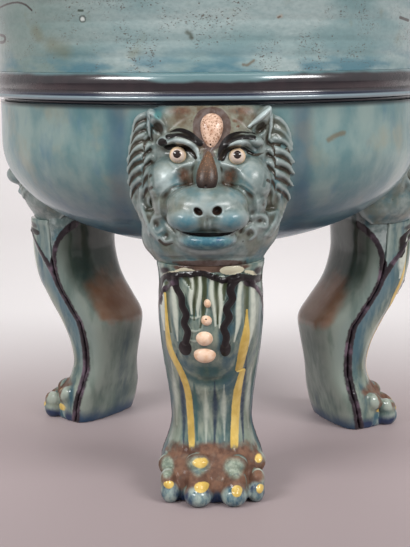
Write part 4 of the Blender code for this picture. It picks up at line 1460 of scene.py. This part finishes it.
def kept_out_of_bowl(mesh, sink):
    """Lowers what would stand up into the belly to just under its surface."""
    points = points_of(mesh)
    radius = np.clip(np.hypot(points[:, 0], points[:, 1]) / MM, 0, WALL - 0.1)
    under = BELLY_TURN - (BELLY_TURN - BELLY_BOTTOM) * np.sqrt(1 - (radius / WALL) ** 2) + sink
    points[:, 2] = np.minimum(points[:, 2], under * MM)
    move_points(mesh, points)


leg_back = leg_back_blank()
kept_out_of_bowl(leg_back, LEG_SINK)
trimmed(leg_back, [((0, 0, SOLE_LIFT * MM), (0, 0, -1))])
carry_pooling(leg_back)
seam_share(leg_back, SLIP_WIDTH)
leg_back.shade_smooth()
print("leg's back half:", len(leg_back.vertices), "points")

# %% [markdown]
# ## Applied clay
#
# Pellets of other clays are pressed on last: two white eyes with black pupils, a pink jewel on the
# forehead, a dark drop on the nose and four cream pearls down the knee. None is a true ball: a fingertip
# flattens each one and leaves its edge a little uneven.

# %% Pellets
EYE_OUT = 9.8
EYE_SIZES = (4.1, 4.0, 4.1)
PINHOLE_DEPTH = 0.9


def pellet_mesh(name, middle, sizes, nod=0.0, taper=0.0, lean=0.0, dent=None, lumps=0.05, seed=1):
    """A pressed pellet: an ellipsoid with an uneven skin. Dent is a pinhole's place across and up, and
    its radius."""
    clay = Clay()
    clay.ball(middle, sizes, nod, lean, taper, fine=(56, 40))
    mesh = clay.mesh(name)
    points, normals = points_of(mesh), normals_of(mesh)
    chance = np.random.default_rng(seed)
    local = points / MM
    skin = np.zeros(len(points))
    for _ in range(5):
        wave = chance.normal(0, 2.2 / max(sizes), 3)
        skin += np.sin(local @ wave + chance.uniform(0, 6))
    points += normals * (skin / 5 * lumps * min(sizes) * MM)[:, None]
    if dent:
        away = np.hypot(local[:, 0] - dent[0], local[:, 2] - dent[1])
        points[:, 1] += PINHOLE_DEPTH * MM * np.clip(1 - (away / dent[2]) ** 2, 0, 1) * (normals[:, 1] < 0)
        carry(mesh, "hole", 1 - soft_step(away, dent[2] * 0.5, dent[2]))
    move_points(mesh, points)
    mesh.shade_smooth()
    return mesh


def eye_mesh(name, across, up, pupil_across, pupil_up):
    mesh = pellet_mesh(name, (across, EYE_OUT, up), EYE_SIZES, lumps=0.02, seed=3)
    local = points_of(mesh) / MM
    away = np.hypot(local[:, 0] - pupil_across, local[:, 2] - pupil_up)
    carry(mesh, "pupil", 1 - soft_step(away, 1.75, 2.05))
    carry(mesh, "edge", soft_step(np.hypot(local[:, 0] - across, local[:, 2] - up), 2.6, 3.9))
    return mesh


pellets = {
    "eye_left": eye_mesh("eye_left", -15.3, 180.6, -15.6, 181.4),
    "eye_right": eye_mesh("eye_right", 13.1, 179.8, 13.2, 180.9),
    "forehead_jewel": pellet_mesh(
        "forehead_jewel", (0.9, 10.4, 192.0), (5.2, 3.2, 8.6), -17, 0.3, 3, (0.4, 185.6, 0.6)
    ),
    "nose_drop": pellet_mesh(
        "nose_drop", (-1.2, 20.4, 173.6), (4.7, 3.9, 10.4), -30, -0.45, 4, (-1.9, 167.2, 0.7)
    ),
    "pearl_1": pellet_mesh("pearl_1", (-1.5, 10.6, 108.4), (1.9, 3.4, 2.3), seed=4),
    "pearl_2": pellet_mesh("pearl_2", (-2.1, 9.6, 99.8), (2.8, 3.4, 2.9), dent=(-2.4, 100.6, 0.5), seed=5),
    "pearl_3": pellet_mesh("pearl_3", (-3.1, 8.2, 90.6), (4.4, 3.8, 4.1), seed=6),
    "pearl_4": pellet_mesh("pearl_4", (-3.1, 4.6, 81.2), (5.6, 4.0, 4.4), seed=7),
}
print("pellets:", ", ".join(pellets))

# %% [markdown]
# ## The glazes
#
# Lead glaze runs when it melts. It leaves every sharp edge thin and pale and pools in the grooves, where
# its colour deepens. So all the relief shares one recipe: the colours of thin, middling and thick glaze,
# mixed by the pooling that the mesh carries, then the painted coats over that.

# %% Pooled glaze
class LeadGlaze(Glaze):
    """A glossy glaze. Its colour builds up as one thing after another is laid over the rest."""

    def __init__(self, name, roughness, coat=0.8, coat_roughness=0.09, coat_ior=1.5):
        super().__init__(name, roughness)
        gloss = {"Coat Weight": coat, "Coat Roughness": coat_roughness, "Coat IOR": coat_ior}
        for socket, value in {**gloss, "Specular IOR Level": 0.15}.items():
            self.shader.inputs[socket].default_value = value
        self.colour = None

    def lay(self, share, paint):
        self.colour = self.blend(share, self.colour, paint)

    def mottled(self, first, second, rare, size, up=1):
        """Two colours in soft patches, with a third one in a few places."""
        where = self.stretched(1, 1, up)
        patches = self.cloud(size, 5, where) * 0.65 + self.cloud(size * 0.28, 4, where, 3) * 0.35
        colour = self.blend(patches.between(0.40, 0.60), first, second)
        return self.blend(self.cloud(size * 1.2, 4, where, 6).between(0.50, 0.68), colour, rare)

    def pool(self, thin, middling, thick, cloudy):
        """Starts the colour: thin glaze on the ridges to thick glaze in the grooves."""
        groove, hollow = self.painted("groove") - 0.5, self.painted("hollow") - 0.5
        depth = groove * 0.8 + hollow * 0.7 + (self.cloud(0.012, 4) - 0.5) * cloudy
        self.colour = self.blend(depth.between(-0.42, 0), thin, middling)
        self.lay(depth.between(0.02, 0.50), thick)
        return depth

    def coat(self, name, paint, ragged=0.3, size=0.0025):
        """A painted coat with an edge that bleeds a little into the glaze."""
        share = self.painted(name) + (self.cloud(size, 3) - 0.5) * ragged
        self.lay(share.between(0.25, 0.7), paint)

    def wash(self, name, paint, size=0.003):
        """A thin wash of a painted coat, cloudy all through."""
        share = self.painted(name) * (0.45 + self.cloud(size, 4))
        self.lay(share.between(0.1, 1), paint)

    def fire(self, relief, depth):
        """Gives the shader the finished colour, and relief too fine for the mesh."""
        self.vary("Base Color", self.colour)
        self.dented(relief, depth)
        print(self.material.name, "has", len(self.tree.nodes), "nodes")


# %% [markdown]
# ### Belly glaze
#
# A grey blue glaze in cloudy streaks, deeper blue below, where it ran and gathered. Shade is painted on it
# just under the ring and beside the mane. Noise gives the streaks, and the place of each point the rest.

# %% Belly glaze
belly_glaze = LeadGlaze("belly_glaze", 0.3, 0.65)
streaks = belly_glaze.cloud(0.018, 5, belly_glaze.stretched(1, 1, 0.6)).between(0.34, 0.66)
belly_glaze.colour = belly_glaze.blend(streaks, (92, 128, 132), (136, 156, 152))
sand = belly_glaze.cloud(0.022, 5, None, 4).between(0.52, 0.70)
belly_glaze.lay(sand * 0.5, (150, 146, 126))
blues = belly_glaze.cloud(0.011, 5, belly_glaze.stretched(1, 1, 0.5), 8).between(0.54, 0.72)
belly_glaze.lay(blues * 0.4, (70, 112, 138))
# Painted shade: dark blue bands on the belly beside each side of the mane.
side = belly_glaze.place("X")
beside = (side * side).up_to(0.01)
mane = beside.between(0.0014, 0.0019) * (1 - beside.between(0.0021, 0.0029))
belly_glaze.lay(mane * 0.45, (44, 62, 92))
low = 1 - belly_glaze.place("Z").between(0.124, 0.168)
belly_glaze.lay(low * 0.95, (20, 92, 122))
stain = belly_glaze.stroke([(59.3, 185.6), (63, 187.6), (67.2, 188.6)], 4, 0.8)
belly_glaze.lay(stain * 0.7, (112, 98, 74))
# Painted shade: a dark band at the very top of the belly, under the ring.
top = belly_glaze.place("Z").between(0.2008, 0.2032)
belly_glaze.lay(top * 0.9, (34, 44, 48))
belly_glaze.vary("Coat Weight", 0.65 - low * 0.4)
belly_glaze.fire(belly_glaze.cloud(0.006), 0.0003)

# %% [markdown]
# ### Ring glaze
#
# Near black manganese glaze. The collar's pale glaze has run over its top edge, furthest at the front,
# and the lip under the band shows pale, with painted shade in the undercut below it. So most of its
# colours are bands of height.

# %% Ring glaze
ring_glaze = LeadGlaze("ring_glaze", 0.3, 1, 0.17, 1.8)
dark = ring_glaze.cloud(0.008, 4).between(0.35, 0.7)
ring_glaze.colour = ring_glaze.blend(dark, (24, 17, 25), (40, 28, 34))
side = ring_glaze.place("X")
middle = 1 - (side * side).between(0.0003, 0.0022)
up = ring_glaze.place("Z") * 1000
runs = (ring_glaze.cloud(0.018, 4, ring_glaze.stretched(1, 1, 0.3)) - 0.5) * 3
ring_glaze.lay((up + runs + middle * 3.4).between(217.6, 219.8) * 0.9, (96, 130, 134))
for low, high, share, paint in (
    (208.9, 210.2, 0.8, (30, 40, 62)),  # foot of the band
    (207.8, 208.5, 1, (120, 138, 146)),  # lip
    # Painted shade in the undercut.
    (205.8, 206.4, 1, (36, 44, 58)),  # undercut
):
    ring_glaze.lay((1 - up.between(low, high)) * share, paint)
ring_glaze.fire(ring_glaze.cloud(0.005), 0.0004)

# %% [markdown]
# ### Collar glaze
#
# Pale grey glaze in streaks that run round, bluer over the ring, and darker and greener on the left,
# where shade is painted. Stains, pits and one painted glint can't come from noise, so each is a stroke
# of its own, and noise adds the fine brown flecks.

# %% Collar glaze
collar_glaze = LeadGlaze("collar_glaze", 0.3)
lengthwise = collar_glaze.stretched(0.3, 0.3, 1)
broad = collar_glaze.cloud(0.014, 5, lengthwise).between(0.34, 0.66)
collar_glaze.colour = collar_glaze.blend(broad, (122, 149, 151), (161, 176, 175))
grain = collar_glaze.cloud(0.0016, 3, collar_glaze.stretched(0.6, 0.6, 1)).between(0.3, 0.8)
collar_glaze.lay(grain * 0.35, (104, 126, 128))
# Painted shade: darker and greener towards the left side.
left = 1 - collar_glaze.place("X").between(-0.105, -0.03)
collar_glaze.lay(left * 0.6, (98, 118, 108))
stains = collar_glaze.cloud(0.015, 5).between(0.60, 0.76)
collar_glaze.lay(stains * 0.5, (122, 126, 106))
low = 1 - collar_glaze.place("Z").between(0.2195, 0.236)
blues = collar_glaze.cloud(0.008, 4, lengthwise, 3).between(0.40, 0.60)
collar_glaze.lay(blues * low * 0.8, (62, 112, 128))
long_stain = [(-112.5, 252.6), (-104.9, 254.4), (-98, 254.9), (-93, 253.4), (-89.6, 250.6)]
# Each mark in the glaze: points across and up, width, softness, share, colour.
for path, width, soft, share, mark in (
    (long_stain, 1.5, 0.7, 0.9, (48, 32, 32)),
    ([(-113.2, 239.2), (-108.5, 238), (-109.3, 235.4), (-113.4, 235)], 2.2, 0.6, 0.95, (48, 36, 36)),
    ([(98.5, 245.9), (103.9, 244.6)], 2, 0.5, 0.85, (58, 46, 44)),
    ([(-63.7, 249.6), (-61.6, 249.5)], 1.6, 0.6, 0.85, (56, 68, 56)),
    ([(-10.4, 238.6), (-8.9, 237.4), (-8.4, 235.9)], 3.8, 1, 0.75, (70, 72, 56)),
    ([(16.3, 223), (18.4, 222.8), (20.2, 224), (21.6, 225)], 2.4, 1, 0.75, (104, 88, 66)),
    ([(33.4, 245.5), (34.8, 245.9)], 3, 1, 0.5, (176, 150, 128)),
    ([(33.2, 245.2), (34.2, 245.6)], 1.6, 1, 0.8, (84, 62, 50)),
    ([(-88, 240.6), (-86, 237.6)], 10, 1, 0.45, (112, 108, 76)),
    ([(-79, 233), (-72, 230)], 14, 1, 0.45, (112, 108, 76)),
    ([(-61.9, 245.5), (-61.7, 245.5)], 4.2, 0.3, 0.8, (84, 92, 88)),
    # A painted highlight: the white glint on a small bump in the glaze.
    ([(-61.9, 245.5), (-61.7, 245.5)], 2.6, 0.5, 0.9, (214, 220, 216)),
):
    collar_glaze.lay(collar_glaze.stroke(path, width, soft) * share, mark)
patches = collar_glaze.cloud(0.016, 3, None, 5).between(0.46, 0.64)
flecks = collar_glaze.cloud(0.0011, 2, collar_glaze.stretched(1, 1, 1.6), 2).between(0.57, 0.66)
specks = (flecks * patches).at_least(collar_glaze.specks(0.006, 0.0005) * 0.8)
collar_glaze.lay(specks * 0.75, (84, 62, 48))
collar_glaze.fire(collar_glaze.cloud(0.005) - specks * 0.5, 0.0003)

# %% [markdown]
# ### Mask glaze
#
# The mask's relief is deep, so the glaze is pale on its ridges and dark in its grooves. Over that lie the
# coats that the carving named: soft washes first, then the sharper ones, such as the black slip. Some
# are painted light and shade: the pale on the cheek, chin, lids and ears, the shade coat and the dark
# nostrils.

# %% Mask glaze
mask_glaze = LeadGlaze("mask_glaze", 0.34, 0.65, 0.25)
ground = mask_glaze.mottled((88, 106, 104), (134, 144, 140), (66, 106, 114), 0.011)
olive = mask_glaze.cloud(0.012, 4, None, 2).between(0.48, 0.62)
ground = mask_glaze.blend(olive * 0.45, ground, (104, 100, 76))
depth = mask_glaze.pool((146, 158, 156), ground, (50, 46, 36), 0.2)
fur = mask_glaze.blend(depth.between(-0.14, 0.10), mask_glaze.colour, (58, 56, 42))
mask_glaze.wash("fur", fur)
earth = mask_glaze.mottled((112, 104, 88), (126, 128, 114), (92, 74, 56), 0.006)
mask_glaze.wash("earth", earth, 0.007)
mask_glaze.wash("sea", (52, 112, 128))
# Pale glaze, and painted light on the cheek, chin, lids and ears.
mask_glaze.wash("pale_glaze_and_painted_light", (186, 200, 200))
mask_glaze.wash("teal", (86, 134, 134), 0.004)
rust = mask_glaze.mottled((112, 78, 56), (92, 62, 46), (70, 56, 44), 0.002)
mask_glaze.wash("rust", rust, 0.002)
deep = mask_glaze.mottled((44, 100, 118), (96, 136, 142), (36, 74, 112), 0.006)
mask_glaze.wash("deep", deep, 0.006)
umber = mask_glaze.mottled((84, 66, 58), (104, 92, 88), (64, 46, 40), 0.006)
mask_glaze.coat("umber", umber, 0.8)
mask_glaze.coat("shade", (54, 48, 38), 0.6)
mask_glaze.coat("slip", (24, 20, 20), 0.2)
# Painted shade in the nostrils.
mask_glaze.coat("hole", (44, 32, 26), 0.2)
specks = mask_glaze.specks(0.008, 0.0006, mask_glaze.stretched(1, 1, 0.8))
mask_glaze.lay(specks * 0.7, (52, 56, 48))
mask_glaze.vary("Coat Weight", 0.65 - mask_glaze.painted("earth") * 0.5)
mask_glaze.fire(mask_glaze.cloud(0.003), 0.0002)

# %% [markdown]
# ### Leg glaze
#
# The same recipe in greener tones. Between the toes the iron clay is bare and matt, so that part also
# loses its coat of gloss and turns rougher.

# %% Leg glaze
leg_glaze = LeadGlaze("leg_glaze", 0.3)
ground = leg_glaze.mottled((80, 104, 100), (146, 156, 142), (52, 88, 100), 0.009, 0.3)
leg_glaze.pool((178, 188, 176), ground, (36, 52, 48), 0.2)
leg_glaze.lay(leg_glaze.painted("flank") * 0.7, (58, 102, 122))
leg_glaze.wash("pale_glaze_and_painted_light", (204, 210, 196))
leg_glaze.wash("moss", (78, 86, 56))
leg_glaze.wash("sea", (56, 96, 98))
leg_glaze.wash("navy", (40, 58, 78))
bare = leg_glaze.painted("bare") + (leg_glaze.cloud(0.005, 5) - 0.5) * 1.5
bare = bare.between(0.15, 1)
leg_glaze.lay(bare, leg_glaze.mottled((98, 72, 60), (124, 92, 74), (84, 58, 48), 0.006))
up = leg_glaze.place("Z") * 1000
foot = up + (leg_glaze.cloud(0.008, 4) - 0.5) * 6
leg_glaze.lay(1 - foot.between(3.5, 8), (34, 52, 84))
wet = leg_glaze.painted("wet")
toe = leg_glaze.mottled((52, 96, 112), (160, 176, 168), (28, 50, 84), 0.006, 0.5)
leg_glaze.lay(wet.between(0.2, 0.8) * 0.9, toe)
fog = leg_glaze.mottled((112, 124, 110), (158, 168, 152), (90, 112, 112), 0.004)
leg_glaze.wash("fog", fog)
yellow = leg_glaze.painted("yellow")
stripes = leg_glaze.painted("stripe") * up.between(22, 31)
stripes = yellow.at_least(stripes) + (leg_glaze.cloud(0.0025) - 0.5) * 0.7
gold = leg_glaze.mottled((206, 172, 84), (230, 200, 116), (190, 160, 82), 0.009, 0.5)
leg_glaze.lay(stripes.between(0.25, 0.75), gold)
rust = leg_glaze.mottled((82, 62, 52), (100, 78, 66), (60, 46, 40), 0.005)
leg_glaze.coat("rust", rust, 0.8)
leg_glaze.coat("cream", (208, 202, 176))
leg_glaze.coat("slip", (30, 24, 26), 0.2)
MANGANESE = ((30, 23, 28), (46, 36, 44), (104, 86, 100), 0.008)
leg_glaze.coat("seam", leg_glaze.mottled(*MANGANESE), 0.8)
shine = 1 - bare * (1 - wet) * (1 - yellow) * 0.85
leg_glaze.vary("Coat Weight", shine * (0.8 - leg_glaze.painted("slip") * 0.35))
leg_glaze.vary("Roughness", 0.3 + bare * 0.35)
leg_glaze.fire(leg_glaze.cloud(0.003), 0.0002)

# %% [markdown]
# ### Glaze on the leg's back half
#
# Duller and greener, with long runs, a dark shade behind the knee and a rust patch below it. Its top is
# as grey as the mask, and the slip along the seam is the front half's.

# %% Glaze on the leg's back half
back_glaze = LeadGlaze("leg_back_glaze", 0.3)
ground = back_glaze.mottled((80, 100, 94), (130, 144, 134), (62, 84, 88), 0.012, 0.25)
back_glaze.pool((144, 154, 144), ground, (52, 60, 58), 0.3)
flank = back_glaze.painted("flank")
back_glaze.lay(flank * 0.3, (92, 122, 126))
runs = back_glaze.cloud(0.010, 4, back_glaze.stretched(1, 1, 0.25), 3).between(0.48, 0.66)
back_glaze.lay(runs * 0.5, (66, 92, 84))
up = back_glaze.place("Z") * 1000 + (back_glaze.cloud(0.012, 4) - 0.5) * 14
shade = up.between(70, 100) * (1 - flank * 0.9)
back_glaze.lay(shade * 0.85, (46, 56, 46))
hock = back_glaze.painted("rear") * up.between(58, 68) * (1 - up.between(80, 112))
hock = (hock + (back_glaze.cloud(0.014, 4) - 0.5) * 0.9).between(0.2, 1)
back_glaze.lay(hock * 0.65, (152, 92, 54))
back_glaze.lay(1 - up.between(0, 11), (34, 66, 96))
shoulder = back_glaze.mottled((88, 106, 104), (150, 160, 158), (66, 106, 118), 0.011)
back_glaze.lay(back_glaze.painted("shoulder"), shoulder)
back_glaze.coat("seam", back_glaze.mottled(*MANGANESE), 0.8)
back_glaze.fire(back_glaze.cloud(0.004), 0.0002)

# %% [markdown]
# ### Clays
#
# The pellets are other clays with thin glaze: white eyes with black pupils, a pink grainy jewel, a dark
# drop and cream pearls. The eyes are the glossiest.

# %% Clays
eye_glaze = LeadGlaze("eye_clay", 0.15)
eye_glaze.colour = (216, 196, 182)
eye_glaze.coat("edge", (222, 194, 160))
eye_glaze.coat("pupil", (40, 28, 26), 0.15, 0.001)

jewel_glaze = LeadGlaze("jewel_clay", 0.4, 0.3)
patches = jewel_glaze.cloud(0.003, 4).between(0.4, 0.7)
jewel_glaze.colour = jewel_glaze.blend(patches, (222, 190, 168), (182, 140, 116))
grain = jewel_glaze.specks(0.0012, 0.0005) + jewel_glaze.cloud(0.0008, 2).between(0.56, 0.7)
jewel_glaze.lay(grain.up_to(1) * 0.8, (138, 98, 72))
jewel_glaze.coat("hole", (50, 34, 28), 0.1, 0.001)

drop_glaze = LeadGlaze("drop_clay", 0.5, 0.35, 0.3)
rise = drop_glaze.place("Z").between(0.166, 0.182)
drop_glaze.colour = drop_glaze.blend(rise, (38, 28, 26), (98, 74, 56))
drop_glaze.lay(drop_glaze.specks(0.001, 0.0004) * rise * 0.6, (156, 112, 84))
drop_glaze.coat("hole", (20, 14, 14), 0.1, 0.001)

pearl_glaze = LeadGlaze("pearl_clay", 0.42, 0.25)
patches = pearl_glaze.cloud(0.003).between(0.4, 0.65)
pearl_glaze.colour = pearl_glaze.blend(patches, (238, 208, 184), (222, 182, 150))
pearl_glaze.coat("hole", (60, 40, 32), 0.1, 0.001)

for clay_glaze in (eye_glaze, jewel_glaze, drop_glaze, pearl_glaze):
    clay_glaze.vary("Base Color", clay_glaze.colour)
print("glazes:", len(bpy.data.materials))

# %% [markdown]
# ## Putting the bowl together
#
# The turned pieces take the place of their nodes. Every leg uses the same meshes, turned about the
# bowl's axis: the potter luted the back pair on by eye, a little off an even third.

# %% The whole bowl
LEG_TURNS = {"front": 0.0, "right": 114.0, "left": 234.0}


def stands_for(name, node, mesh, glaze, turn=0.0):
    """Puts a finished piece in the place of its node. Each leg's meshes are copies, turned into place."""
    own = mesh.copy()
    own.transform(Matrix.Rotation(radians(turn), 4, "Z"))
    piece = add_object(name, own, glaze)
    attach(piece, "root")
    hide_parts(node)


stands_for("belly", "bowl_belly", belly_mesh, belly_glaze)
stands_for("ring", "ring_moulding", ring_mesh, ring_glaze)
stands_for("collar", "bowl_collar", collar_mesh, collar_glaze)
LEG_PIECES = {
    "lion_mask": ("mask_glaze", mask_mesh, mask_glaze),
    "leg_front": ("leg_glaze", leg_front, leg_glaze),
    "leg_back": ("leg_back_glaze", leg_back, back_glaze),
    "eye_left": ("eye_clay", pellets["eye_left"], eye_glaze),
    "eye_right": ("eye_clay", pellets["eye_right"], eye_glaze),
    "forehead_jewel": ("jewel_clay", pellets["forehead_jewel"], jewel_glaze),
    "nose_drop": ("drop_clay", pellets["nose_drop"], drop_glaze),
    **{f"pearl_{n}": ("pearl_clay", pellets[f"pearl_{n}"], pearl_glaze) for n in range(1, 5)},
}
for place, turn in LEG_TURNS.items():
    for part, (slot, mesh, glaze) in LEG_PIECES.items():
        stands_for(f"{place}_{part}_detailed", f"{place}_{part}", mesh, glaze, turn)
